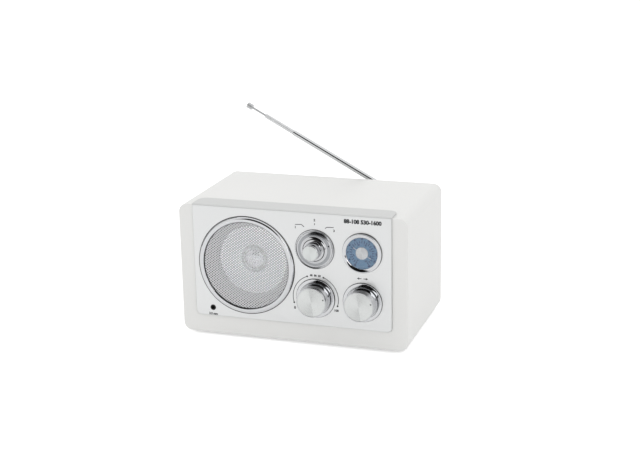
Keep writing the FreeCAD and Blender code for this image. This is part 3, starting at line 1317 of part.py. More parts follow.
def ferrite_rod():
    """Ferrite rod with its coil."""
    rod = along_x(FERRITE_X - FERRITE_LENGTH / 2, FERRITE_X + FERRITE_LENGTH / 2, FERRITE_RADIUS)
    x0, x1 = FERRITE_X - FERRITE_COIL_LENGTH / 2, FERRITE_X + FERRITE_COIL_LENGTH / 2
    coil = along_x(x0, x1, FERRITE_COIL_RADIUS).cut(along_x(x0 - EPS, x1 + EPS, FERRITE_RADIUS))
    return Part.Compound([rod, coil])


def ferrite_holders():
    """Two holders that clip the rod on the board."""
    holders = []
    reach = FERRITE_LENGTH / 2 - 2 * FERRITE_HOLDER_WIDTH
    for side in (-1, 1):
        x0 = FERRITE_X + side * reach - FERRITE_HOLDER_WIDTH / 2
        x1 = x0 + FERRITE_HOLDER_WIDTH
        z0, z1 = FERRITE_Z - FERRITE_HOLDER_RADIUS, FERRITE_Z + FERRITE_HOLDER_RADIUS
        foot = block(x0, x1, BOARD_BACK_Y, FERRITE_Y, z0, z1)
        collar = along_x(x0, x1, FERRITE_HOLDER_RADIUS)
        holders.append(foot.fuse(collar).removeSplitter().cut(along_x(x0 - EPS, x1 + EPS, FERRITE_RADIUS)))
    return holders


# Mains

def transformer_screw_xs():
    """Places of the transformer's two screws along X."""
    return [TRANSFORMER_X + side * TRANSFORMER_SCREW_SPACING / 2 for side in (-1, 1)]


def mains_transformer():
    """Transformer: a laminated core in its clamp, whose feet lie on the floor, and its winding."""
    y0, y1 = TRANSFORMER_Y - CORE_DEPTH / 2, TRANSFORMER_Y + CORE_DEPTH / 2
    foot_z = FLOOR_Z + TRANSFORMER_FOOT_THICKNESS
    half = CORE_WIDTH / 2
    core = block(TRANSFORMER_X - half, TRANSFORMER_X + half, y0, y1, foot_z, foot_z + CORE_HEIGHT)
    half = TRANSFORMER_FOOT_LENGTH / 2
    feet = block(TRANSFORMER_X - half, TRANSFORMER_X + half, y0, y1, FLOOR_Z, foot_z)
    xs = transformer_screw_xs()
    holes = [post(x, TRANSFORMER_Y, SCREW_RADIUS, FLOOR_Z - EPS, foot_z + EPS) for x in xs]
    middle_z = foot_z + CORE_HEIGHT / 2
    x0, x1 = TRANSFORMER_X - WINDING_WIDTH / 2, TRANSFORMER_X + WINDING_WIDTH / 2
    z0, z1 = middle_z - WINDING_HEIGHT / 2, middle_z + WINDING_HEIGHT / 2
    winding = block(x0, x1, TRANSFORMER_Y - WINDING_DEPTH / 2, TRANSFORMER_Y + WINDING_DEPTH / 2, z0, z1)
    upright = [edge for edge in winding.Edges if is_along(edge, Z_AXIS)]
    core = core.fuse(feet).removeSplitter().cut([block(x0, x1, y0 - EPS, y1 + EPS, z0, z1)] + holes)
    return Part.Compound([core, winding.makeFillet(WINDING_ROUND, upright)])


def mains_inlet():
    """Two-pin appliance inlet: flange on the back panel, body through it, round-ended socket."""
    half_width, half_height = INLET_WIDTH / 2, INLET_HEIGHT / 2
    flange_back = BACK_OUTER_Y + INLET_FLANGE_THICKNESS
    body = block(INLET_X - half_width, INLET_X + half_width, BACK_OUTER_Y - INLET_DEPTH, BACK_OUTER_Y,
                 INLET_Z - half_height, INLET_Z + half_height)
    flange = rounded_board(INLET_X - half_width - INLET_FLANGE, INLET_X + half_width + INLET_FLANGE,
                           INLET_Z - half_height - INLET_FLANGE, INLET_Z + half_height + INLET_FLANGE,
                           BACK_OUTER_Y, flange_back, INLET_CORNER)
    floor = flange_back - SOCKET_DEPTH
    socket = slot_y(INLET_X, INLET_Z, SOCKET_WIDTH, SOCKET_HEIGHT, floor, flange_back + EPS)
    return Part.Compound([body.fuse(flange).removeSplitter().cut(socket)] + mains_pins())


def mains_pins():
    """The inlet's two contact pins."""
    floor = BACK_OUTER_Y + INLET_FLANGE_THICKNESS - SOCKET_DEPTH
    end = floor + SOCKET_PIN_LENGTH
    pins = []
    for side in (-1, 1):
        pin = disc(INLET_X + side * SOCKET_PIN_SPACING / 2, INLET_Z, SOCKET_PIN_RADIUS, floor, end)
        rims = [edge for edge in pin.Edges if edge.CenterOfMass.y > end - TOLERANCE]
        pins.append(pin.makeChamfer(SOCKET_PIN_CHAMFER, rims))
    return pins


# Antenna

def antenna_direction():
    """Unit vector from the hinge pin along the antenna."""
    lean = math.radians(ANTENNA_ANGLE)
    return Vector(-math.cos(lean), 0, math.sin(lean))


def hinge_direction():
    """Unit vector along the hinge pin; a positive turn about it folds the antenna backwards."""
    return antenna_direction().cross(Y_AXIS)


def antenna_point(distance):
    """Point on the antenna's axis at a distance from the hinge pin."""
    return Vector(ANTENNA_X, ANTENNA_Y, ANTENNA_Z) + antenna_direction() * distance


def along_antenna(radius, start, end):
    """Cylinder on the antenna's axis between two distances from the hinge pin."""
    return Part.makeCylinder(radius, end - start, antenna_point(start), antenna_direction())


def place_on_antenna(shape):
    """Moves a shape made with X along the antenna, Y along +Y and Z along the hinge pin to the hinge pin."""
    turn = FreeCAD.Rotation(antenna_direction(), Y_AXIS, hinge_direction(), "XYZ")
    move = FreeCAD.Placement(Vector(ANTENNA_X, ANTENNA_Y, ANTENNA_Z), turn)
    shape.Placement = move.multiply(shape.Placement)
    return shape


def antenna_bushing():
    """Flanged bush in the back panel, in which the antenna's head turns."""
    start = (BUSHING_RADIUS, 0.0)
    steps = [
        (BUSHING_RADIUS - BUSHING_TAPER, BUSHING_THICKNESS),
        (HEAD_STEM_RADIUS + RUNNING_FIT, BUSHING_THICKNESS),
        (HEAD_STEM_RADIUS + RUNNING_FIT, -BACK_THICKNESS - BUSHING_PROUD),
        (BUSHING_SLEEVE_RADIUS, -BACK_THICKNESS - BUSHING_PROUD),
        (BUSHING_SLEEVE_RADIUS, 0.0),
    ]
    return turned(ANTENNA_X, ANTENNA_Z, BACK_OUTER_Y, start, steps)


def head_front_y():
    """Where the antenna's head starts, just behind its bush."""
    return BACK_OUTER_Y + BUSHING_THICKNESS + HEAD_END_PLAY


def antenna_head():
    """Swivel head: a stem through the bush, a round head with a slot for the hinge lug, and its lock nut."""
    y0 = head_front_y()
    y1 = ANTENNA_Y + HEAD_TAIL
    head = disc(ANTENNA_X, ANTENNA_Z, HEAD_RADIUS, y0, y1)
    rims = [edge for edge in head.Edges if edge.CenterOfMass.y > y1 - TOLERANCE]
    head = head.makeChamfer(HEAD_CHAMFER, rims)
    stem = disc(ANTENNA_X, ANTENNA_Z, HEAD_STEM_RADIUS, stem_end_y(), y0)
    reach = LUG_RADIUS + LOOSE_GAP
    half = HEAD_SLOT / 2
    slot = block(-reach, HEAD_RADIUS + EPS, -reach, HEAD_TAIL + EPS, -half, half)
    end = HEAD_RADIUS + EPS
    pin_bore = Part.makeCylinder(HINGE_PIN_RADIUS, 2 * end, Vector(0, 0, -end), Z_AXIS)
    cuts = [place_on_antenna(slot), place_on_antenna(pin_bore)]
    return Part.Compound([head.fuse(stem).removeSplitter().cut(cuts), antenna_lock_nut()])


def stem_end_y():
    """Inner end of the head's stem, past its lock nut."""
    return lock_nut_back_y() - LOCK_NUT_THICKNESS - STEM_PAST_NUT


def lock_nut_back_y():
    """Where the lock nut ends, just before the bush."""
    return BACK_INNER_Y - BUSHING_PROUD - HEAD_END_PLAY


def antenna_lock_nut():
    """Nut on the stem inside the cabinet, which turns with the head."""
    y1 = lock_nut_back_y()
    return hex_nut(ANTENNA_X, ANTENNA_Z, LOCK_NUT_ACROSS, HEAD_STEM_RADIUS, y1 - LOCK_NUT_THICKNESS, y1)


def hinge_pin():
    """Pin across the head's slot."""
    half = math.sqrt(HEAD_RADIUS ** 2 - HINGE_PIN_RADIUS ** 2) - HINGE_PIN_SINK
    return place_on_antenna(Part.makeCylinder(HINGE_PIN_RADIUS, 2 * half, Vector(0, 0, -half), Z_AXIS))


def antenna_lug():
    """Flat hinge lug whose round end turns on the pin and whose plug fills the first tube's end."""
    half = LUG_THICKNESS / 2
    end = half + EPS
    bore = Part.makeCylinder(HINGE_PIN_RADIUS + RUNNING_FIT, 2 * end, Vector(0, 0, -end), Z_AXIS)
    tongue = block(0, TUBE_START, -LUG_WAIST_RADIUS, LUG_WAIST_RADIUS, -half, half)
    eye = Part.makeCylinder(LUG_RADIUS, LUG_THICKNESS, Vector(0, 0, -half), Z_AXIS)
    shoulder_start = Vector(TUBE_START - LUG_SHOULDER, 0, 0)
    shoulder = Part.makeCylinder(TUBE_RADII[0], LUG_SHOULDER, shoulder_start, X_AXIS)
    plug = Part.makeCylinder(TUBE_RADII[0] - TUBE_WALL, LUG_PLUG, Vector(TUBE_START, 0, 0), X_AXIS)
    return place_on_antenna(eye.fuse([tongue, shoulder, plug]).removeSplitter().cut(bore))


def section_starts():
    """Distances from the hinge pin at which second tube, third tube and rod start."""
    second_mouth = FIRST_TUBE_END + SECOND_TUBE_OUT
    third_mouth = second_mouth + THIRD_TUBE_OUT
    rod_end = third_mouth + ROD_OUT
    return second_mouth - SECOND_TUBE_LENGTH, third_mouth - THIRD_TUBE_LENGTH, rod_end - ROD_LENGTH


def telescopic_tube(index, start, length):
    """Thin tube whose mouth is drawn in on the next section, with a guide collar on its inner end."""
    outer = TUBE_RADII[index]
    inner = outer - TUBE_WALL
    next_radius = (TUBE_RADII + (ROD_RADIUS,))[index + 1]
    end = start + length
    tube = along_antenna(outer, start, end)
    if index:
        tube = tube.fuse(along_antenna(collar_radius(index), start, start + TUBE_COLLAR)).removeSplitter()
    hollow = along_antenna(inner, start - EPS, end - TUBE_MOUTH)
    mouth = along_antenna(next_radius + RUNNING_FIT, end - TUBE_MOUTH - EPS, end + EPS)
    return tube.cut([hollow, mouth])


def collar_radius(index):
    """Radius of the guide collar that slides inside the tube before."""
    return TUBE_RADII[index - 1] - TUBE_WALL - RUNNING_FIT


def antenna_tube_1():
    """First, thickest tube, crimped on its hinge lug."""
    return Part.Compound([antenna_lug(), telescopic_tube(0, TUBE_START, FIRST_TUBE_END - TUBE_START)])


def antenna_tube_2():
    """Second tube."""
    return telescopic_tube(1, section_starts()[0], SECOND_TUBE_LENGTH)


def antenna_tube_3():
    """Third tube."""
    return telescopic_tube(2, section_starts()[1], THIRD_TUBE_LENGTH)


def antenna_rod():
    """Thin rod with its guide collar."""
    start = section_starts()[2]
    rod = along_antenna(ROD_RADIUS, start, start + ROD_LENGTH)
    return rod.fuse(along_antenna(collar_radius(3), start, start + TUBE_COLLAR)).removeSplitter()


def antenna_tip():
    """Chamfered cap on the rod's end."""
    start = section_starts()[2] + ROD_LENGTH
    cap = along_antenna(TIP_RADIUS, start, start + TIP_LENGTH)
    rims = [edge for edge in cap.Edges if isinstance(edge.Curve, Part.Circle)]
    return cap.makeChamfer(TIP_CHAMFER, rims)


NODES = (
    cabinet_shell, front_baffle, corner_blocks, back_panel, back_screws, rubber_feet, short_screws, long_screws,
    front_panel, face_plate, control_bezels,
    speaker_ring, speaker_grille, speaker_basket, speaker_surround, speaker_cone, speaker_dust_cap,
    voice_coil, speaker_spider, speaker_yoke, speaker_magnet,
    volume_knob, volume_knob_face, volume_shaft, volume_control,
    selector_knob, selector_cap, selector_shaft, band_switch,
    tuning_knob, tuning_knob_face, tuning_shaft, tuning_pinion, tuning_bush,
    idler_gear, idler_pin, gear_bracket, dial_gear, dial_shaft, tuning_capacitor,
    dial_bezel, dial_lens, dial_scale, dial_pointer, dial_hub_cap, lamp_board,
    line_in_jack, main_board, board_standoffs, ferrite_rod, mains_transformer, mains_inlet,
    antenna_bushing, antenna_head, hinge_pin, antenna_tube_1, antenna_tube_2, antenna_tube_3,
    antenna_rod, antenna_tip,
)


def main():
    """Builds every piece and writes it to its own STEP file."""
    os.makedirs("parts", exist_ok=True)
    for build in NODES:
        shape = build()
        shape.exportStep(os.path.join("parts", build.__name__ + ".step"))


main()
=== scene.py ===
"""Looks of the tabletop radio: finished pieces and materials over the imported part, with lights and a camera."""
import json
import logging
import math
from dataclasses import dataclass
from enum import Enum
from functools import cache
from typing import Sequence

import bmesh
import bpy
from mathutils import Matrix, Vector

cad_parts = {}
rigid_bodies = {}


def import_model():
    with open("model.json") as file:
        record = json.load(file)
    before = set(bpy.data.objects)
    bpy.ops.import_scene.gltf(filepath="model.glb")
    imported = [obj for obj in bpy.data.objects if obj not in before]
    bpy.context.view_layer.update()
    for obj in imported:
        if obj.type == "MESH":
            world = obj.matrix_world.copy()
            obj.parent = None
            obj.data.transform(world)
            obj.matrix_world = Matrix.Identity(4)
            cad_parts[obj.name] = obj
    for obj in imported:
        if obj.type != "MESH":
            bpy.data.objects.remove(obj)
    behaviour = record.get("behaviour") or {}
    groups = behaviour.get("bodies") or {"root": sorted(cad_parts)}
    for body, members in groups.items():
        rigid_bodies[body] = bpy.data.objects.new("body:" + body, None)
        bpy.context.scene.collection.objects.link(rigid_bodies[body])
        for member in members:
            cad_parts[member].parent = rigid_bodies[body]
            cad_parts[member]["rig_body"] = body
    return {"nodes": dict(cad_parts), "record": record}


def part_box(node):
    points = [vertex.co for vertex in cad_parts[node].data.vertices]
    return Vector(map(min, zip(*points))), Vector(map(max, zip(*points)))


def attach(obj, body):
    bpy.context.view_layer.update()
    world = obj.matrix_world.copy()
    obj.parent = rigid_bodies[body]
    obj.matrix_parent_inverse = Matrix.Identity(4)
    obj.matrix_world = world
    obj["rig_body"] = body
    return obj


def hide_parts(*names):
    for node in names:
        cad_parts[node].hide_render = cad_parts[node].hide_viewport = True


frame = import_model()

LOG = logging.getLogger("radio")
MM = 0.001
INK_DEPTH = 0.03

Colour = tuple[float, float, float]
Mesh = bmesh.types.BMesh
Profile = Sequence[tuple[float, float]]
Spot = tuple[float, float, float]

WHITE: Colour = (1.0, 1.0, 1.0)


def paint(red: float, green: float, blue: float) -> Colour:
    """Linear colour, as shaders take it, of a colour on the usual 0 to 255 scale."""
    parts = [part / 255 for part in (red, green, blue)]
    return tuple(p / 12.92 if p <= 0.04045 else ((p + 0.055) / 1.055) ** 2.4 for p in parts)


def clock(x: float, z: float, distance: float, angle: float) -> tuple[float, float]:
    """X and Z of a point at a distance from a centre, at a clockwise angle in degrees from the top."""
    turn = math.radians(angle)
    return x + distance * math.sin(turn), z + distance * math.cos(turn)


def crown(outer: float, inner: float, height: float, shares: Profile) -> list[tuple[float, float]]:
    """Profile of a ring's front, from its outer radius in, by shares of its width and of its height."""
    return [(outer - across * (outer - inner), -rise * height) for across, rise in shares]


# Shader building

class Wire:
    """An output socket that takes part in sums as a number does."""

    def __init__(self, tree: "Tree", socket: bpy.types.NodeSocket) -> None:
        """Wraps a socket of a node tree."""
        self.tree = tree
        self.socket = socket

    def __add__(self, other: "Wire | float") -> "Wire":
        """Sum."""
        return self.tree.math("ADD", self, other)

    def __sub__(self, other: "Wire | float") -> "Wire":
        """Difference."""
        return self.tree.math("SUBTRACT", self, other)

    def __rsub__(self, other: float) -> "Wire":
        """Difference from a number."""
        return self.tree.math("SUBTRACT", other, self)

    def __mul__(self, other: "Wire | float") -> "Wire":
        """Product."""
        return self.tree.math("MULTIPLY", self, other)

    def __truediv__(self, other: "Wire | float") -> "Wire":
        """Quotient."""
        return self.tree.math("DIVIDE", self, other)

    __radd__ = __add__
    __rmul__ = __mul__

    def above(self, edge: float) -> "Wire":
        """1 where the value is above an edge, else 0."""
        return self.tree.math("GREATER_THAN", self, edge)

    def sine(self) -> "Wire":
        """Sine of the value."""
        return self.tree.math("SINE", self)

    def wave(self, pitch: float) -> "Wire":
        """Wave between 0 and 1 along a coordinate, with its pitch in metres."""
        return (self * (2 * math.pi / pitch)).sine() * 0.5 + 0.5

    def parts(self) -> "tuple[Wire, Wire, Wire]":
        """The three parts of a vector."""
        node = self.tree.add("ShaderNodeSeparateXYZ", {}, {0: self})
        return tuple(Wire(self.tree, out) for out in node.outputs)


Feed = Wire | float | Sequence[float]


class Tree:
    """The node tree of a material or of the world, filled node by node."""

    def __init__(self, tree: bpy.types.NodeTree) -> None:
        """Empties a node tree."""
        self.tree = tree
        self.tree.nodes.clear()

    def add(self, kind: str, settings: dict, values: dict) -> bpy.types.Node:
        """Adds a node with its settings, then its socket values and links.

        Args:
            kind: The node's type.
            settings: The node's own properties.
            values: Socket names or numbers with a wire, number, vector or colour for each.

        Returns:
            The node.
        """
        node = self.tree.nodes.new(kind)
        for key, setting in settings.items():
            setattr(node, key, setting)
        for key, value in values.items():
            self.plug(node.inputs[key], value)
        return node

    def plug(self, socket: bpy.types.NodeSocket, value: Feed) -> None:
        """Links a wire to a socket, or sets the socket to a constant.

        Args:
            socket: Input socket.
            value: Wire, number, vector or colour.
        """
        if isinstance(value, Wire):
            self.tree.links.new(value.socket, socket)
        elif socket.type == "RGBA":
            socket.default_value = (*value[:3], 1.0)
        else:
            socket.default_value = value

    def node(self, kind: str, settings: dict, values: dict, output: int = 0) -> Wire:
        """Adds a node and gives one of its outputs."""
        return Wire(self, self.add(kind, settings, values).outputs[output])

    def math(self, operation: str, *values: Wire | float) -> Wire:
        """Result of a Math node."""
        return self.node("ShaderNodeMath", {"operation": operation}, dict(enumerate(values)))

    def vector(self, operation: str, *values: Feed) -> Wire:
        """Result of a Vector Math node: a number for LENGTH and a vector otherwise."""
        sockets = {0: values[0], 3: values[1]} if operation == "SCALE" else dict(enumerate(values))
        return self.node("ShaderNodeVectorMath", {"operation": operation}, sockets, int(operation == "LENGTH"))

    def rays(self) -> tuple[Wire, Wire, Wire]:
        """1 where the camera, gloss or glass looks, each for itself, else 0."""
        path = self.add("ShaderNodeLightPath", {}, {})
        return tuple(Wire(self, path.outputs[f"Is {kind} Ray"]) for kind in ("Camera", "Glossy", "Transmission"))

    def place(self) -> Wire:
        """Object coordinates, in metres."""
        return self.node("ShaderNodeTexCoord", {}, {}, 3)

    def noise(self, scale: float, detail: float = 2.0, rough: float = 0.5, where: Wire | None = None) -> Wire:
        """Soft noise between 0 and 1, by its features for each metre, finer layers, and their share."""
        return self.node("ShaderNodeTexNoise", {}, {
            "Vector": where or self.place(), "Scale": scale, "Detail": detail, "Roughness": rough})

    def blend(self, factor: Wire, first: Feed, second: Feed) -> Wire:
        """Mix of two colours, where a factor of 0 gives the first."""
        return self.node("ShaderNodeMix", {"data_type": "RGBA"}, {0: factor, 6: first, 7: second}, 2)

    def shade(self, factor: Wire, colour: Colour, spread: float) -> Wire:
        """A colour that a factor of 0 darkens, and one of 1 lightens, by a share of itself."""
        low, high = (tuple(min(1.0, part * level) for part in colour) for level in (1 - spread, 1 + spread))
        return self.blend(factor, low, high)


class Surface(Tree):
    """A material with one Principled shader, and what feeds it."""

    def __init__(self, name: str) -> None:
        """Makes a material that holds nothing but its shader.

        Args:
            name: The material's name.
        """
        self.material = bpy.data.materials.new(name)
        self.material.use_nodes = True
        super().__init__(self.material.node_tree)
        self.shader = self.add("ShaderNodeBsdfPrincipled", {}, {})
        self.add("ShaderNodeOutputMaterial", {}, {"Surface": Wire(self, self.shader.outputs[0])})

    def put(self, **values: Feed) -> None:
        """Feeds the shader's sockets, each named with underscores for its spaces."""
        for socket, value in values.items():
            self.plug(self.shader.inputs[socket.replace("_", " ")], value)

    def relief(self, height: Wire, depth: float, strength: float) -> None:
        """Gives the surface a share of the relief of a height from 0 to 1, with its full depth in metres."""
        self.put(Normal=self.node("ShaderNodeBump", {}, {"Strength": strength, "Distance": depth, "Height": height}))


@dataclass(frozen=True)
class Finish:
    """A finish: its name, colour and gloss, and how it varies over the surface."""

    name: str
    colour: Colour
    roughness: float = 0.5
    metallic: float = 0.0

    @cache
    def material(self) -> bpy.types.Material:
        """Makes the finish's material, once.

        Returns:
            The material.
        """
        surface = Surface(self.name)
        surface.put(Metallic=self.metallic)
        self.dress(surface)
        return surface.material

    def dress(self, surface: Surface) -> None:
        """Feeds the shader's sockets."""
        raise NotImplementedError

    def coat(self, surface: Surface, tone: Wire, spread: float, gloss: Wire, height: Wire, depth: float,
             strength: float) -> None:
        """Feeds lightness by a tone and its spread, gloss round the roughness, and relief by height and depth."""
        surface.put(Base_Color=surface.shade(tone, self.colour, spread), Roughness=self.roughness + gloss)
        surface.relief(height, depth, strength)


@dataclass(frozen=True)
class Lacquer(Finish):
    """Sprayed lacquer with the faint ripple that spraying leaves."""

    ripple: float = 420.0
    depth: float = 1.2e-5
    drift: float = 11.0
    spread: float = 0.012
    cloud: float = 70.0

    def dress(self, surface: Surface) -> None:
        """Slow drift in colour and gloss, and a fine ripple."""
        drift, cloud, ripple = surface.noise(self.drift), surface.noise(self.cloud), surface.noise(self.ripple, 1.0)
        self.coat(surface, drift, self.spread, (cloud - 0.5) * 0.10, ripple, self.depth, 0.6)


@dataclass(frozen=True)
class Moulded(Finish):
    """Moulded plastic or rubber with a fine texture."""

    grain: float = 1500.0
    depth: float = 2.5e-5
    spread: float = 0.06
    wear: float = 60.0

    def dress(self, surface: Surface) -> None:
        """Fine speckle, patches of handling and a grained relief."""
        fine, wear = surface.noise(self.grain, 3.0, 0.6), surface.noise(self.wear)
        self.coat(surface, fine * 0.6 + wear * 0.4, self.spread, (wear - 0.5) * 0.16, fine, self.depth, 0.5)


@dataclass(frozen=True)
class Metal(Finish):
    """Plated or turned metal with fine marks and slow changes in gloss."""

    metallic: float = 1.0
    marks: float = 2200.0
    depth: float = 6.0e-6
    spread: float = 0.05
    cloud: float = 55.0

    def dress(self, surface: Surface) -> None:
        """Cloudy gloss, faint colour drift and fine marks."""
        cloud, fine = surface.noise(self.cloud, 3.0), surface.noise(self.marks)
        self.coat(surface, cloud, self.spread, (cloud - 0.5) * (0.35 * self.roughness), fine, self.depth, 0.4)


@dataclass(frozen=True)
class SilverPaint(Finish):
    """Metallic paint: small flakes that catch the light under a satin film."""

    flakes: float = 3800.0
    spread: float = 0.035
    depth: float = 4.0e-6
    drift: float = 16.0

    def dress(self, surface: Surface) -> None:
        """Flakes in colour and gloss over a slow drift.

        Args:
            surface: Surface to dress.
        """
        flake, drift = surface.noise(self.flakes, 1.0), surface.noise(self.drift)
        self.coat(surface, flake * 0.5 + drift * 0.5, self.spread, (flake - 0.5) * 0.10 + (drift - 0.5) * 0.05,
                  flake, self.depth, 0.5)


@dataclass(frozen=True)
class Spun(Finish):
    """Aluminium turned on a lathe: each point mirrors a fan of directions across its groove."""

    metallic: float = 1.0
    centre: tuple[float, float] = (0.0, 0.0)
    fan: float = 0.27
    # painted_sectors: how far the colour darkens and lightens in sectors round the centre, a painted highlight and
    # shade; start turns where it steps.
    painted_sectors: float = 0.10
    start: float = 1.05
    grooves: float = 9.1e5
    rings: float = 2600.0

    def dress(self, surface: Surface) -> None:
        """Normals that lean across fine rings, rings in colour and gloss, and painted highlight and shade: colour
        sectors round the centre that step from dark to light.

        Args:
            surface: Surface to dress.
        """
        flat = surface.vector("MULTIPLY", surface.place(), (1.0, 0.0, 1.0))
        spoke = surface.vector("SUBTRACT", flat, (self.centre[0], 0.0, self.centre[1]))
        radius = surface.vector("LENGTH", spoke)
        right, _, up = spoke.parts()
        # Painted highlight and shade: sectors of colour round the centre, in place of the light that the spun grooves
        # reflect.
        painted_sectors = surface.math("FRACT", surface.math("ARCTAN2", right, up) / math.pi + self.start)
        groove = surface.node("ShaderNodeTexWhiteNoise", {"noise_dimensions": "1D"}, {"W": radius * self.grooves})
        ring = surface.node("ShaderNodeTexNoise", {"noise_dimensions": "1D"}, {
            "W": radius, "Scale": self.rings, "Detail": 3.0})
        lean = (groove - 0.5) * (2 * self.fan)
        aside = surface.vector("SCALE", surface.vector("NORMALIZE", spoke), lean)
        aside = surface.node("ShaderNodeVectorTransform", {
            "vector_type": "VECTOR", "convert_from": "OBJECT", "convert_to": "WORLD"}, {0: aside})
        upright = surface.node("ShaderNodeNewGeometry", {}, {}, 1)
        surface.put(Normal=surface.vector("NORMALIZE", surface.vector("ADD", upright, aside)),
                    Base_Color=surface.shade(ring * 0.3 + painted_sectors * 0.7, self.colour, self.painted_sectors),
                    Roughness=self.roughness + (ring - 0.5) * 0.12)


@dataclass(frozen=True)
class Fibres(Finish):
    """Paper, felted pulp or board made of short fibres."""

    fibre: float = 700.0
    depth: float = 1.2e-4
    spread: float = 0.10

    def dress(self, surface: Surface) -> None:
        """Fibre clumps in colour and relief."""
        fine, clump = surface.noise(self.fibre, 4.0, 0.65), surface.noise(self.fibre * 0.12)
        self.coat(surface, fine * 0.7 + clump * 0.3, self.spread, (fine - 0.5) * 0.10, fine, self.depth, 0.7)


@dataclass(frozen=True)
class Timber(Finish):
    """Plain wood or plywood with its grain along X."""

    stretch: float = 0.09
    grain: float = 260.0
    pores: float = 1500.0

    def dress(self, surface: Surface) -> None:
        """Long streaks of grain and small pores.

        Args:
            surface: Surface to dress.
        """
        along = surface.vector("MULTIPLY", surface.place(), (self.stretch, 1.0, 1.0))
        grain, pores = surface.noise(self.grain, 4.0, 0.6, along), surface.noise(self.pores, where=along)
        self.coat(surface, grain * 0.75 + pores * 0.25, 0.22, (pores - 0.5) * 0.15, pores, 6.0e-5, 0.6)


@dataclass(frozen=True)
class Woven(Finish):
    """Stiffened cloth with warp and weft."""

    threads: float = 1900.0

    def dress(self, surface: Surface) -> None:
        """Crossing threads in colour and relief.

        Args:
            surface: Surface to dress.
        """
        x, _, z = surface.vector("SCALE", surface.place(), 2 * math.pi * self.threads).parts()
        weave = x.sine() * z.sine() * 0.5 + 0.5
        self.coat(surface, weave, 0.25, weave * 0.1, weave, 1.0e-4, 0.7)


@dataclass(frozen=True)
class Wound(Finish):
    """Enamelled wire wound in close turns along Y."""

    metallic: float = 0.85
    pitch: float = 2.5e-4

    def dress(self, surface: Surface) -> None:
        """Turns of wire side by side."""
        turn = surface.place().parts()[1].wave(self.pitch)
        self.coat(surface, turn, 0.45, (1 - turn) * 0.25, turn, 1.2e-4, 0.8)


@dataclass(frozen=True)
class Stacked(Finish):
    """Transformer core of thin varnished sheets, stacked along Y."""

    metallic: float = 0.7
    sheet: float = 5.0e-4
    cloud: float = 120.0

    def dress(self, surface: Surface) -> None:
        """Sheet edges as stripes."""
        stripe, cloud = surface.place().parts()[1].wave(self.sheet), surface.noise(self.cloud, 3.0)
        self.coat(surface, stripe * 0.6 + cloud * 0.4, 0.35, (cloud - 0.5) * 0.2, stripe, 5.0e-5, 0.6)


@dataclass(frozen=True)
class Circuit(Finish):
    """Circuit board: solder mask over copper tracks, with tinned spots."""

    track: Colour = (0.05, 0.22, 0.07)
    tin: Colour = (0.62, 0.63, 0.62)
    cells: float = 190.0
    spots: float = 260.0
    spot_size: float = 0.16

    def dress(self, surface: Surface) -> None:
        """Tracks from a cell pattern and spots of solder.

        Args:
            surface: Surface to dress.
        """
        place = surface.place()
        cells = surface.node("ShaderNodeTexVoronoi", {"distance": "CHEBYCHEV"}, {"Vector": place, "Scale": self.cells})
        tracks = (cells * 9.0).sine().above(0.35)
        spots = surface.node("ShaderNodeTexVoronoi", {}, {"Vector": place, "Scale": self.spots})
        solder = 1 - spots.above(self.spot_size)
        mask = surface.blend(tracks, self.colour, self.track)
        surface.put(Base_Color=surface.blend(solder, mask, self.tin), Metallic=solder * 0.9,
                    Roughness=self.roughness + solder * 0.05)
        surface.relief(tracks * 0.4 + solder * 0.6, 5.0e-5, 0.6)


@dataclass(frozen=True)
class Clear(Finish):
    """Clear moulded lens."""

    index: float = 1.47
    marks: float = 300.0

    def dress(self, surface: Surface) -> None:
        """Clear body with a hint of handling marks in its gloss."""
        surface.put(Transmission_Weight=1.0, IOR=self.index, Base_Color=self.colour,
                    Roughness=surface.noise(self.marks) * 0.03)


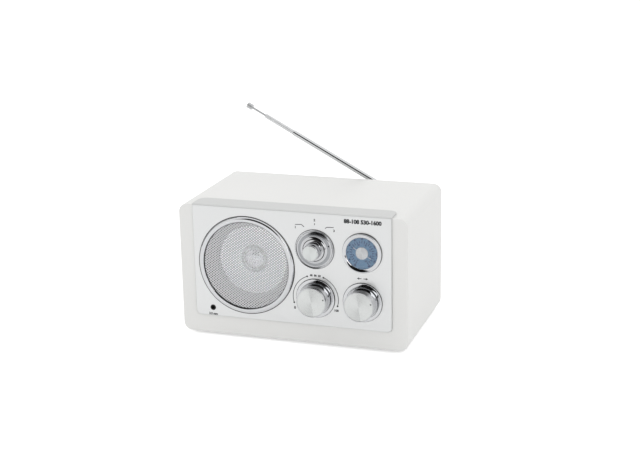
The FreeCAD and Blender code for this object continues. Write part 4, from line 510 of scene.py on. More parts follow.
class Slot(Enum):
    """Material slots of the part, each with its finish."""

    CABINET = "cabinet_lacquer", Lacquer("white_lacquer", paint(238, 238, 236), 0.38)
    # Near-black board instead of the raw board's colour: painted shade for the speaker opening and holes, where the
    # board shows.
    WOOD = "plain_wood", Timber("board_painted_shade", paint(46, 44, 43), 0.70)
    BACK = "back_board", Moulded("back_moulding", paint(212, 213, 211), 0.56, grain=1300.0, spread=0.03)
    BLACK_SCREW = "black_screws", Metal("blackened_steel", paint(46, 46, 48), 0.42)
    FEET = "feet_rubber", Moulded("foot_rubber", paint(38, 38, 38), 0.85, grain=1100.0)
    ZINC_SCREW = "zinc_screws", Metal("bright_zinc", paint(196, 198, 200), 0.30)
    MOULDING = "silver_moulding", SilverPaint("moulding_silver", paint(216, 217, 216), 0.50, 0.10)
    PLATE = "satin_plate", SilverPaint("plate_satin", paint(228, 229, 229), 0.32, 0.90)
    TRIM = "chrome_trim", Metal("trim_chrome", paint(212, 213, 215), 0.06, marks=900.0, spread=0.02)
    KNOB = "chrome_knob", Metal("knob_chrome", paint(200, 201, 203), 0.05, marks=900.0, spread=0.02)
    ANTENNA = "chrome_antenna", Metal("antenna_chrome", paint(216, 217, 218), 0.06, marks=900.0, spread=0.03)
    GRILLE = "grille_mesh", SilverPaint("grille_silver", paint(227, 228, 230), 0.22, 0.70, flakes=1600.0)
    STEEL = "zinc_steel", Metal("zinc_plated_steel", paint(184, 188, 192), 0.34)
    SURROUND = "surround_rubber", Moulded("surround_rubber", paint(34, 34, 36), 0.55, grain=900.0)
    CONE = "cone_paper", Fibres("cone_paper", paint(242, 243, 245), 0.60, fibre=520.0, spread=0.06)
    DUST_CAP = "dust_cap_paper", SilverPaint("dust_cap_silver", paint(228, 230, 233), 0.05, 1.0, flakes=1500.0)
    COPPER = "copper_winding", Wound("copper_wire", paint(184, 104, 62), 0.30)
    SPIDER = "spider_cloth", Woven("spider_cloth", paint(176, 140, 70), 0.80)
    FERRITE = "ferrite", Moulded("ferrite_ceramic", paint(52, 51, 52), 0.62, grain=2400.0, spread=0.15)
    SPUN = "spun_aluminium", Spun("spun_aluminium", paint(215, 217, 216), 0.26)
    BRASS = "brass_shaft", Metal("turned_brass", paint(206, 172, 98), 0.26)
    CONTROL_STEEL = "control_steel", Metal("control_can", paint(176, 178, 180), 0.38)
    CONTROL_PLASTIC = "control_plastic", Moulded("control_plastic", paint(226, 222, 208), 0.50)
    ACETAL = "gear_acetal", Moulded("gear_acetal", paint(232, 230, 224), 0.46, depth=1.0e-5)
    LENS = "clear_lens", Clear("lens_clear", WHITE)
    SCALE = "blue_scale", Moulded("scale_blue", paint(106, 150, 188), 0.50, depth=4.0e-6, spread=0.03)
    POINTER = "white_pointer", Moulded("pointer_white", paint(238, 238, 236), 0.45, depth=4.0e-6, spread=0.03)
    BOARD = "circuit_board", Circuit("solder_mask", paint(18, 74, 34), 0.40)
    JACK = "jack_plastic", Moulded("jack_plastic", paint(24, 24, 25), 0.45)
    TRANSFORMER = "transformer_steel", Stacked("core_sheets", paint(96, 92, 88), 0.50)
    PLASTIC = "black_plastic", Moulded("inlet_plastic", paint(28, 28, 29), 0.42)

    def __new__(cls, name: str, finish: Finish) -> "Slot":
        """Makes the slot's name its value, with the finish beside it.

        Args:
            name: The slot's name in the part.
            finish: Its finish.

        Returns:
            The slot.
        """
        slot = object.__new__(cls)
        slot._value_ = name
        slot.finish = finish
        return slot


PRINT_INK = Moulded("print_grey", paint(30, 32, 36), 0.60, depth=2.0e-6, spread=0.04)
SCALE_INK = Moulded("scale_ink", paint(2, 22, 104), 0.60, depth=2.0e-6, spread=0.04)
DOT_PAINT = Moulded("dot_paint", paint(34, 36, 40), 0.50, depth=2.0e-6, spread=0.04)
# Black of the thin rings that paint shadow lines round the trim rings, bezels, dust cap and selector step.
PAINTED_SHADE = Moulded("painted_shade_black", paint(26, 26, 27), 0.60, depth=4.0e-6)
# Rougher chrome, darker than the knob's: the roughness is a satin band, the darker colour paints the band's grey shade.
SHADED_FLANGE = Metal("flange_shaded_chrome", paint(160, 162, 165), 0.16, marks=900.0, spread=0.02)
SATIN_ROD = Metal("rod_nickel", paint(202, 203, 204), 0.45, marks=900.0, spread=0.03)
# Paler, half-metallic copy of the antenna chrome: painted light on the two upper tubes, which are chrome like the rest.
PALE_ROD = SilverPaint("rod_painted_bright", paint(222, 223, 224), 0.45, 0.45, flakes=1500.0)


# Mesh building

@dataclass(frozen=True)
class Extent:
    """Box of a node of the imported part, in millimetres."""

    low: Vector
    high: Vector

    @classmethod
    def of(cls, node: str) -> "Extent":
        """Box of a node by its name."""
        low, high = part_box(node)
        return cls(low / MM, high / MM)

    @property
    def x(self) -> float:
        """Middle in X."""
        return (self.low.x + self.high.x) / 2

    @property
    def z(self) -> float:
        """Middle in Z."""
        return (self.low.z + self.high.z) / 2

    @property
    def radius(self) -> float:
        """Half the width."""
        return (self.high.x - self.low.x) / 2

    @property
    def depth(self) -> float:
        """Size in Y."""
        return self.high.y - self.low.y

    @property
    def centre(self) -> tuple[float, float]:
        """Middle in X and Z, in metres."""
        return self.x * MM, self.z * MM

    def at(self, y: float) -> Spot:
        """Point at a depth on the axis that runs along Y through the middle."""
        return self.x, y, self.z


class Bench:
    """Makes, finishes and registers the pieces of the visual model."""

    def __init__(self) -> None:
        """Reads which slot each node of the part has."""
        self.nodes: dict[str, bpy.types.Object] = frame["nodes"]
        self.slots = {part["node"]: Slot(part["material_slot"]) for part in frame["record"]["subparts"]}
        self.replaced: set[str] = set()

    @classmethod
    def turned(cls, profile: Profile, at: Spot, steps: int = 128, closed: bool = True) -> Mesh:
        """Turns a profile about an axis along Y.

        Args:
            profile: Radii and depths in millimetres; a negative depth is towards the front.
            at: Point on the axis where depths start.
            steps: Steps in the full turn.
            closed: Whether the last point joins the first.

        Returns:
            The turned mesh.
        """
        mesh = bmesh.new()
        x, y, z = at
        points = [mesh.verts.new((x + radius, y + depth, z)) for radius, depth in profile]
        edges = [mesh.edges.new(pair) for pair in zip(points, points[1:])]
        if closed:
            edges.append(mesh.edges.new((points[-1], points[0])))
        bmesh.ops.spin(mesh, geom=points + edges, cent=at, axis=(0, 1, 0), angle=2 * math.pi, steps=steps,
                       use_merge=True)
        bmesh.ops.remove_doubles(mesh, verts=mesh.verts, dist=1e-4)
        cls.outward(mesh)
        return mesh

    @staticmethod
    def outward(mesh: Mesh) -> None:
        """Turns all faces outwards.

        Args:
            mesh: A closed mesh.
        """
        bmesh.ops.recalc_face_normals(mesh, faces=mesh.faces)
        if mesh.calc_volume(signed=True) < 0:
            bmesh.ops.reverse_faces(mesh, faces=mesh.faces)

    @staticmethod
    def block(low: Sequence[float], high: Sequence[float]) -> Mesh:
        """Box between two corners.

        Args:
            low: Lowest corner.
            high: Highest corner.

        Returns:
            The box.
        """
        mesh = bmesh.new()
        bmesh.ops.create_cube(mesh, size=1.0)
        low, high = Vector(low), Vector(high)
        bmesh.ops.scale(mesh, vec=high - low, verts=mesh.verts)
        bmesh.ops.translate(mesh, vec=(low + high) / 2, verts=mesh.verts)
        return mesh

    @staticmethod
    def swing(mesh: Mesh, angle: float, at: Spot) -> Mesh:
        """Turns a mesh about Y, then takes it to its place.

        Args:
            mesh: Mesh about the origin.
            angle: Clockwise angle in degrees, seen from the front.
            at: Where its origin goes.

        Returns:
            The same mesh.
        """
        turn = Matrix.Translation(at) @ Matrix.Rotation(math.radians(angle), 4, "Y")
        bmesh.ops.transform(mesh, matrix=turn, verts=mesh.verts)
        return mesh

    def show(self, mesh: Mesh, name: str, node: str = "", finish: "Finish | Slot | None" = None, body: str = "",
             smooth: float = 32.0) -> None:
        """Turns a mesh in millimetres into a finished piece of the model.

        Args:
            mesh: The mesh, used up.
            name: Piece name.
            node: Node of the part that it replaces, whose slot and body it takes.
            finish: Its own finish, or another slot.
            body: Body that it rides on, where it replaces no node.
            smooth: Edges sharper than this, in degrees, stay crisp.
        """
        finish = finish or self.slots[node]
        body = body or self.nodes[node]["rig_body"]
        bmesh.ops.scale(mesh, vec=(MM,) * 3, verts=mesh.verts)
        data = bpy.data.meshes.new(name)
        mesh.to_mesh(data)
        mesh.free()
        for face in data.polygons:
            face.use_smooth = True
        data.set_sharp_from_angle(angle=math.radians(smooth))
        piece = bpy.data.objects.new(name, data)
        bpy.context.scene.collection.objects.link(piece)
        weighted = piece.modifiers.new("even_shading", "WEIGHTED_NORMAL")
        weighted.keep_sharp = True
        slot = finish if isinstance(finish, Slot) else None
        data.materials.append((slot.finish if slot else finish).material())
        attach(piece, body)
        if node:
            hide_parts(node)
            self.replaced.add(node)
        LOG.info("piece %s: %d faces on %s", name, len(data.polygons), body)

    def seal(self, at: Spot, radius: float, name: str, height: float = 0.2) -> None:
        """Thin black ring that paints the shadow line round a trim ring.

        Args:
            at: Centre, on the surface that it lies on.
            radius: Outer radius of the ring.
            name: Piece name.
            height: How far it stands out.
        """
        inner, front, outer = radius - 0.6, radius + 0.24, radius + 0.34
        profile = [(inner, 0.0), (inner, -height), (front, -height), (outer, 0.1 - height), (outer, 0.0)]
        self.show(self.turned(profile, at), name, finish=PAINTED_SHADE, body="radio")

    def sleek(self, *nodes: str, finish: Finish | None = None) -> None:
        """Replaces nodes by smooth copies of themselves.

        Args:
            nodes: Names of the nodes.
            finish: Their finish, if it isn't the one of their slot.
        """
        for node in nodes:
            mesh = bmesh.new()
            mesh.from_mesh(self.nodes[node].data)
            bmesh.ops.scale(mesh, vec=(1 / MM,) * 3, verts=mesh.verts)
            bmesh.ops.remove_doubles(mesh, verts=mesh.verts, dist=1e-3)
            self.show(mesh, node + "_skin", node, finish)

    def dress_rest(self) -> None:
        """Gives every node that is still shown the finish of its slot."""
        for name, node in self.nodes.items():
            if name not in self.replaced:
                node.data.materials.clear()
                node.data.materials.append(self.slots[name].finish.material())
                LOG.info("node %s: %s", name, self.slots[name].value)

    @staticmethod
    def text(words: str, size: float, at: Spot, turn: float = 0.0, weight: float = 0.0) -> Mesh:
        """Flat lettering that faces the front, as a thin mesh.

        Args:
            words: Characters.
            size: Height of a line in millimetres.
            at: Its middle, on the front of the print.
            turn: Clockwise turn in degrees, seen from the front.
            weight: Millimetres by which strokes grow on each side.

        Returns:
            The lettering.
        """
        curve = bpy.data.curves.new("lettering", "FONT")
        curve.body, curve.size, curve.offset = words, size, weight
        curve.align_x, curve.align_y = "CENTER", "CENTER"
        curve.resolution_u = 3
        curve.extrude = INK_DEPTH / 2
        holder = bpy.data.objects.new("lettering", curve)
        data = bpy.data.meshes.new_from_object(holder)
        mesh = bmesh.new()
        mesh.from_mesh(data)
        bpy.data.objects.remove(holder)
        bpy.data.curves.remove(curve)
        bpy.data.meshes.remove(data)
        bmesh.ops.remove_doubles(mesh, verts=mesh.verts, dist=1e-4)
        place = Matrix.Translation((at[0], at[1] + INK_DEPTH / 2, at[2]))
        place @= Matrix.Rotation(math.radians(turn), 4, "Y") @ Matrix.Rotation(math.pi / 2, 4, "X")
        bmesh.ops.transform(mesh, matrix=place, verts=mesh.verts)
        return mesh

    @classmethod
    def arc(cls, at: Spot, radius: float, width: float, start: float, end: float, steps: int = 24) -> Mesh:
        """Thin printed arc that faces the front.

        Args:
            at: Centre, on the front of the print.
            radius: Middle radius.
            width: Width of the line.
            start: Clockwise angle from the top where it starts, in degrees.
            end: Where it ends.
            steps: Steps along it.

        Returns:
            The arc.
        """
        mesh = bmesh.new()
        x, y, z = at
        low, high = radius - width / 2, radius + width / 2
        corners = [(low, 0.0), (high, 0.0), (high, INK_DEPTH), (low, INK_DEPTH)]
        face = mesh.faces.new([mesh.verts.new((x, y + depth, z + reach)) for reach, depth in corners])
        bmesh.ops.rotate(mesh, cent=at, verts=mesh.verts, matrix=Matrix.Rotation(math.radians(start), 3, "Y"))
        bmesh.ops.spin(mesh, geom=[face], cent=at, axis=(0, 1, 0), angle=math.radians(end - start), steps=steps)
        cls.outward(mesh)
        return mesh

    @staticmethod
    def joined(parts: Sequence[Mesh]) -> Mesh:
        """Joins meshes into the first of them.

        Args:
            parts: Meshes, all used up but the first.

        Returns:
            The first mesh with all the others in it.
        """
        whole = parts[0]
        for part in parts[1:]:
            data = bpy.data.meshes.new("part")
            part.to_mesh(data)
            part.free()
            whole.from_mesh(data)
            bpy.data.meshes.remove(data)
        return whole


# Sub-assemblies

@dataclass
class Cabinet:
    """White case with its back, feet and screws."""

    bench: Bench

    def build(self) -> None:
        """Dresses case, back, feet and screws."""
        self.bench.sleek("cabinet_shell", "front_baffle", "back_panel", "back_screws", "rubber_feet")


@dataclass
class Panel:
    """Silver moulding, its face plate and the marks printed on it."""

    bench: Bench
    arc_radius: float = 24.2
    arc_ends: tuple[float, float] = (21.0, 106.0)
    line: float = 0.66
    dot: float = 0.92
    bold: float = 0.17
    labels: tuple[tuple[str, str, float, float, float], ...] = (
        ("volume_knob", "40  50  60", 2.8, 0.0, 24.0), ("volume_knob", "0", 3.8, -22.6, -12.4),
        ("volume_knob", "100", 3.2, 21.9, -11.6), ("selector_knob", "1", 3.2, -20.2, 21.7),
        ("selector_knob", "2", 3.2, 0.3, 30.5), ("selector_knob", "3", 3.2, 20.7, 20.8),
        ("line_in_jack", "3.5 mm", 3.2, 0.0, -7.0))
    heading: tuple[str, float, float, float, float] = ("88-108 530-1600", 5.6, 0.7, 31.7, 1.9)
    leads: tuple[tuple[tuple[float, float], tuple[float, float]], ...] = (
        ((-20.4, 24.6), (-13.5, 25.1)), ((-13.5, 25.1), (-10.9, 22.7)), ((0.3, 27.3), (0.3, 25.4)),
        ((11.5, 22.5), (12.7, 24.0)), ((12.7, 24.0), (20.4, 24.4)))
    arrow_rise: float = 25.0
    arrow_line: tuple[float, float] = (1.0, 3.8)
    arrow_tip: float = 5.8
    arrow_head: tuple[float, float] = (2.3, 1.2)

    @property
    def face(self) -> float:
        """Front of the print."""
        return Extent.of("face_plate").low.y - INK_DEPTH

    def build(self) -> None:
        """Dresses moulding and plate and prints the marks."""
        self.bench.sleek("front_panel", "face_plate")
        self.marks()

    def marks(self) -> None:
        """Prints arcs, lead lines and plain numbers round the controls."""
        bench, face = self.bench, self.face
        volume, selector, tuning = (Extent.of(name + "_knob") for name in ("volume", "selector", "tuning"))
        dot = [(0.0, 0.0), (self.dot, 0.0), (self.dot, INK_DEPTH), (0.0, INK_DEPTH)]
        parts = []
        for side in (-1, 1):
            ends = [side * angle for angle in self.arc_ends]
            parts.append(bench.arc(volume.at(face), self.arc_radius, self.line, *ends))
            for angle in ends:
                x, z = clock(volume.x, volume.z, self.arc_radius, angle)
                parts.append(bench.turned(dot, (x, face, z), 16, False))
        for node, words, size, across, up in self.labels:
            box = Extent.of(node)
            parts.append(bench.text(words, size, (box.x + across, face, box.z + up), weight=self.bold))
        words, size, across, up, weight = self.heading
        parts.append(bench.text(words, size, (tuning.x + across, face, selector.z + up), weight=weight * self.bold))
        for start, end in self.leads:
            parts.append(self.stroke(selector, start, end))
        for side in (-1, 1):
            parts.append(self.stroke(tuning, *((side * reach, self.arrow_rise) for reach in self.arrow_line)))
            parts.append(self.arrow(tuning.x + side * self.arrow_tip, tuning.z + self.arrow_rise, side))
        bench.show(bench.joined(parts), "panel_print", finish=PRINT_INK, body="radio", smooth=20.0)

    def stroke(self, control: Extent, start: tuple[float, float], end: tuple[float, float]) -> Mesh:
        """Straight printed line.

        Args:
            control: Control that its ends are measured from.
            start: How far right of and above the control it starts.
            end: Where it ends.

        Returns:
            The line.
        """
        across, up = end[0] - start[0], end[1] - start[1]
        low, high = (0.0, self.face, -self.line / 2), (math.hypot(across, up), self.face + INK_DEPTH, self.line / 2)
        spot = (control.x + start[0], 0.0, control.z + start[1])
        return self.bench.swing(self.bench.block(low, high), -math.degrees(math.atan2(up, across)), spot)

    def arrow(self, x: float, z: float, side: int) -> Mesh:
        """Small printed arrow head.

        Args:
            x: Its tip's X.
            z: Its tip's Z.
            side: 1 points to the right and -1 to the left.

        Returns:
            The arrow head.
        """
        mesh = bmesh.new()
        length, half = self.arrow_head
        corners = [(x, z), (x - side * length, z + half), (x - side * length, z - half)]
        base = mesh.faces.new([mesh.verts.new((px, self.face + INK_DEPTH, pz)) for px, pz in corners])
        grown = bmesh.ops.extrude_face_region(mesh, geom=[base])["geom"]
        verts = [item for item in grown if isinstance(item, bmesh.types.BMVert)]
        bmesh.ops.translate(mesh, vec=(0.0, -INK_DEPTH, 0.0), verts=verts)
        self.bench.outward(mesh)
        return mesh


@dataclass
class Speaker:
    """Trim ring, expanded-metal grille and the loudspeaker behind it."""

    bench: Bench
    mesh_across: float = 3.46
    mesh_up: float = 2.77
    strand: float = 0.76
    sheet: float = 0.22
    hem: float = 1.2
    rebate: float = 1.3
    lip: float = 0.8
    ring_crown: Profile = ((0.0, 0.0), (0.0, 0.12), (0.07, 0.40), (0.16, 0.65), (0.27, 0.84), (0.42, 0.95), (0.60, 1.0),
                           (0.78, 1.0), (0.92, 0.98), (1.0, 0.88))
    ring_seal: float = 0.75
    cap_radius: float = 15.2
    cap_flange: float = 2.6
    cap_rise: float = 5.0
    cone_fall: float = 4.6

    def build(self) -> None:
        """Builds ring and grille and dresses the loudspeaker."""
        self.ring()
        self.grille()
        self.cone()
        self.cap()
        self.bench.sleek("speaker_basket", "speaker_surround", "voice_coil", "speaker_spider", "speaker_yoke",
                         "speaker_magnet")

    def ring(self) -> None:
        """Chrome ring with a rounded crown that falls to its inner lip."""
        box, grille = Extent.of("speaker_ring"), Extent.of("speaker_grille")
        at, inner = box.at(box.high.y), grille.radius - self.rebate
        profile = crown(box.radius, inner, box.depth, self.ring_crown)
        profile += [(inner, -self.lip), (grille.radius, -self.lip), (grille.radius, 0.0)]
        self.bench.show(self.bench.turned(profile, at, 160), "speaker_trim_ring", "speaker_ring")
        # Painted shade: black rings for the shadow lines at the ring's outer edge and at its inner lip.
        self.bench.seal(at, box.radius, "speaker_seal", self.ring_seal)
        self.bench.seal(box.at(grille.low.y), inner - 0.15, "grille_seal")

    def cone(self) -> None:
        """Shallow cone on its former."""
        box = Extent.of("speaker_cone")
        rim, neck = box.radius, self.cap_radius - 0.6
        front = [(rim, 0.2), (0.8 * rim, 1.0), (0.6 * rim, 2.4), (neck, self.cone_fall)]
        back = [(neck + 0.5, self.cone_fall + 1.2), (0.6 * rim, 3.2), (0.8 * rim, 1.8), (rim, 0.9)]
        former = [(neck, box.depth), (neck + 0.5, box.depth)]
        self.bench.show(self.bench.turned(front + former + back, box.at(box.low.y), 96), "speaker_paper_cone",
                        "speaker_cone")

    def cap(self) -> None:
        """Glossy domed cap with a rolled flange, and a black ring between them that paints the shade in their gap."""
        box = Extent.of("speaker_cone")
        at = box.at(box.low.y)
        base = self.cone_fall - 0.2
        span = self.cap_radius - self.cap_flange
        dome = [(0.0, base - self.cap_rise)]
        for share in (0.25, 0.5, 0.7, 0.85, 0.95, 1.0):
            dome.append((share * span, base - self.cap_rise * math.sqrt(1 - share * share)))
        for share, rise in ((0.15, 0.1), (0.3, 0.8), (0.5, 1.2), (0.7, 1.1), (0.88, 0.7), (1.0, 0.1)):
            dome.append((span + share * self.cap_flange, base - rise))
        dome += [(self.cap_radius, base + 0.5), (0.0, base + 0.5)]
        self.bench.show(self.bench.turned(dome, at, 96, False), "speaker_cap", "speaker_dust_cap")
        # Painted shade: a black ring in the gap between dome and flange.
        gap_shade = [(span - 0.55, base - 0.1), (span - 0.5, base - 1.0), (span + 0.95, base - 1.0),
                (span + 1.0, base - 0.1)]
        self.bench.show(self.bench.turned(gap_shade, at, 96), "speaker_cap_shadow_ring", finish=PAINTED_SHADE, body="cone")

    def grille(self) -> None:
        """Expanded metal with rows of diamonds, and a plain hem under the ring's lip."""
        box = Extent.of("speaker_grille")
        reach = box.radius - 0.1
        cell = math.hypot(self.mesh_across, self.mesh_up) / 2
        count = 2 * math.ceil(1.3 * reach / cell)
        mesh = bmesh.new()
        bmesh.ops.create_grid(mesh, x_segments=count, y_segments=count, size=count / 2)
        bmesh.ops.rotate(mesh, cent=(0.0, 0.0, 0.0), matrix=Matrix.Rotation(math.pi / 4, 3, "Z"), verts=mesh.verts)
        stretch = (self.mesh_across / math.sqrt(2), self.mesh_up / math.sqrt(2), 1.0)
        bmesh.ops.scale(mesh, vec=stretch, verts=mesh.verts)
        outside = [face for face in mesh.faces if face.calc_center_median().length > reach]
        bmesh.ops.delete(mesh, geom=outside, context="FACES")
        for vert in mesh.verts:
            vert.co *= min(1.0, reach / max(vert.co.length, reach / 2))
        cells = list(mesh.faces)
        bmesh.ops.inset_individual(mesh, faces=cells, thickness=self.strand / 2, use_even_offset=True)
        bmesh.ops.delete(mesh, geom=cells, context="FACES_ONLY")
        bmesh.ops.solidify(mesh, geom=list(mesh.faces), thickness=self.sheet)
        flat = Matrix.Translation(box.at(0.0)) @ Matrix.Rotation(math.pi / 2, 4, "X")
        bmesh.ops.transform(mesh, matrix=flat, verts=mesh.verts)
        bmesh.ops.recalc_face_normals(mesh, faces=mesh.faces)
        low = min(vert.co.y for vert in mesh.verts)
        bmesh.ops.translate(mesh, vec=(0.0, box.low.y + 0.06 - low, 0.0), verts=mesh.verts)
        rim = box.radius - self.hem
        hem = [(rim, 0.0), (box.radius, 0.0), (box.radius, self.lip), (rim, self.lip)]
        whole = Bench.joined([mesh, self.bench.turned(hem, box.at(box.low.y))])
        self.bench.show(whole, "speaker_mesh", "speaker_grille")


@dataclass
class Controls:
    """Volume and tuning knobs, the selector, and the fixed bezels round them."""

    bench: Bench
    rim: float = 0.9
    cone_edge: float = 0.35
    wall: float = 1.6
    ledge: float = 14.3
    openings: tuple[tuple[str, float], ...] = (("selector", 19.3), ("volume", 16.9), ("tuning", 16.9))
    bezel_seal: float = 0.7
    dot_angle: float = 73.0
    knob_dot: float = 13.3
    selector_dot: float = 16.0

    def build(self) -> None:
        """Builds bezels, knobs and selector."""
        self.knob("volume")
        self.knob("tuning")
        self.selector()
        self.bezels()

    def bezels(self) -> None:
        """Three chrome bezels on the face plate."""
        outer = Extent.of("dial_bezel").radius
        face = Extent.of("face_plate").low.y
        height = face - Extent.of("control_bezels").low.y
        meshes = []
        for name, inner in self.openings:
            at = Extent.of(name + "_knob").at(face)
            profile = [
                (outer, 0.0), (outer, -0.62 * height), (outer - 0.06, -0.80 * height), (outer - 0.2, -0.93 * height),
                (outer - 0.45, -height), (inner + 0.5, -0.97 * height), (inner + 0.2, -0.92 * height),
                (inner, -0.78 * height), (inner, 0.0)]
            meshes.append(self.bench.turned(profile, at))
            # Painted shade: a black ring for the shadow line round the bezel.
            self.bench.seal(at, outer, name + "_seal", self.bezel_seal)
        self.bench.show(Bench.joined(meshes), "bezel_rings", "control_bezels")

    def knob(self, name: str) -> None:
        """Chrome knob with a spun face and its dot.

        Args:
            name: Body name of the knob.
        """
        bench = self.bench
        box, face = Extent.of(name + "_knob"), Extent.of(name + "_knob_face")
        base, front, depth, edge = box.radius, face.radius + self.rim, box.depth, self.cone_edge
        floor = face.high.y - box.low.y
        profile = [(0.0, floor), (face.radius, floor), (face.radius, 0.15),
                   (face.radius + 0.06, 0.05), (face.radius + 0.16, 0.0), (front - edge, 0.0),
                   (front - 0.60 * edge, 0.03), (front - 0.29 * edge, 0.29 * edge), (front - 0.07, 0.62 * edge),
                   (front, edge + 0.1), (base, depth - 0.25), (base - 0.08, depth - 0.07), (base - 0.25, depth),
                   (base - self.wall, depth), (front - self.wall, 3.0), (0.0, 3.0)]
        bench.show(bench.turned(profile, box.at(box.low.y), closed=False), name + "_knob_body", name + "_knob")
        # The spun face's colour carries painted highlight and shade sectors.
        spun = Spun("spun_face_" + name, Slot.SPUN.finish.colour, 0.28, centre=face.centre)
        edge = face.radius - 0.02
        disc = [(0.0, 0.06), (edge - 0.25, 0.06), (edge - 0.05, 0.12), (edge, 0.2), (edge, face.depth),
                (0.0, face.depth)]
        piece = bench.turned(disc, face.at(face.low.y), closed=False)
        bench.show(piece, name + "_spun_face", name + "_knob_face", spun)
        self.dot(name, face, self.knob_dot, face.low.y,
                 [(0.0, 0.03), (0.65, 0.03), (0.75, 0.06), (0.75, 0.3), (0.0, 0.3)])

    def dot(self, name: str, box: Extent, distance: float, y: float, profile: Profile) -> None:
        """Painted dot of a knob, at a distance from its axis."""
        x, z = clock(box.x, box.z, distance, self.dot_angle)
        self.bench.show(self.bench.turned(profile, (x, y, z), 24, False), name + "_dot", finish=DOT_PAINT, body=name)

    def selector(self) -> None:
        """Dished chrome selector with a straight grip, a spun cap and its dot."""
        bench = self.bench
        box, cap = Extent.of("selector_knob"), Extent.of("selector_cap")
        at, flange, depth, ledge = box.at(box.low.y), box.radius, box.depth, self.ledge
        edge, step = depth - 0.9, depth - 3.4
        profile = [(0.0, 0.6), (cap.radius, 0.6), (cap.radius, 0.1), (cap.radius + 0.1, 0.02),
                   (cap.radius + 0.3, 0.1), (8.3, 0.26), (8.52, 0.5), (8.62, 0.85), (9.0, step - 0.15),
                   (9.1, step - 0.03), (9.3, step), (10.8, step), (10.95, step + 0.06), (11.0, step + 0.25),
                   (11.0, step + 0.9), (11.7, step + 1.0)]
        for share, fall in ((0.12, 0.22), (0.28, 0.46), (0.48, 0.68), (0.72, 0.88), (0.94, 1.0)):
            profile.append((11.7 + share * (ledge - 11.7), step + 1.0 + fall * (edge - step - 1.7)))
        profile += [(ledge, edge - 0.68), (ledge, depth), (7.4, depth), (7.4, 2.2), (0.0, 2.2)]
        bench.show(bench.turned(profile, at, closed=False), "selector_body", "selector_knob")
        # The band's darker chrome paints the grey shade of the selector's outer band.
        middle = ledge + 0.62 * (flange - ledge)
        band = [(ledge + share * (flange - ledge), edge + fall)
                for share, fall in ((0.0, -0.66), (0.03, -0.3), (0.09, -0.24), (0.34, -0.08), (0.62, 0.26))]
        band += [(middle, depth), (ledge, depth)]
        rim = [(middle, edge + 0.26), (middle + 0.1, edge + 0.2), (middle + 0.5, edge + 0.28),
               (flange - 0.5, edge + 0.5), (flange - 0.12, edge + 0.72), (flange, depth - 0.02),
               (flange - 0.1, depth), (middle, depth)]
        # Painted shade: a black ring that stands for the shadow in the groove at the step.
        groove = [(11.0, step + 0.2), (11.5, step + 0.3), (11.65, step + 0.5), (11.65, step + 1.3), (11.0, step + 1.3)]
        for name, ring, finish in (("flange", band, SHADED_FLANGE), ("rim", rim, Slot.KNOB), ("groove", groove, PAINTED_SHADE)):
            bench.show(bench.turned(ring, at), "selector_" + name, finish=finish, body="selector")
        # The cap's colour carries faint painted highlight and shade sectors.
        spun = Spun("spun_face_selector", paint(217, 220, 219), 0.34, centre=cap.centre, fan=0.2, painted_sectors=0.04)
        radius, thick = cap.radius - 0.02, cap.depth
        disc = [(0.0, 0.05), (radius - 0.2, 0.05), (radius - 0.05, 0.1), (radius, 0.18), (radius, thick), (0.0, thick)]
        bench.show(bench.turned(disc, cap.at(cap.low.y), 96, False), "selector_spun_cap", "selector_cap", spun)
        self.dot("selector", box, self.selector_dot, box.low.y + edge - 0.2,
                 [(0.0, -0.02), (0.7, -0.02), (0.8, 0.02), (0.8, 0.9), (0.0, 0.9)])


@dataclass(frozen=True)
class Numbers:
    """Ring of plain numbers on the dial."""

    words: tuple[str, ...]
    size: float
    radius: float
    weight: float


@dataclass(frozen=True)
class Ticks:
    """Ring of radial marks on the dial, each from one radius to another, with a longer one at regular steps."""

    count: int
    step: int
    width: float
    short: tuple[float, float]
    long: tuple[float, float]


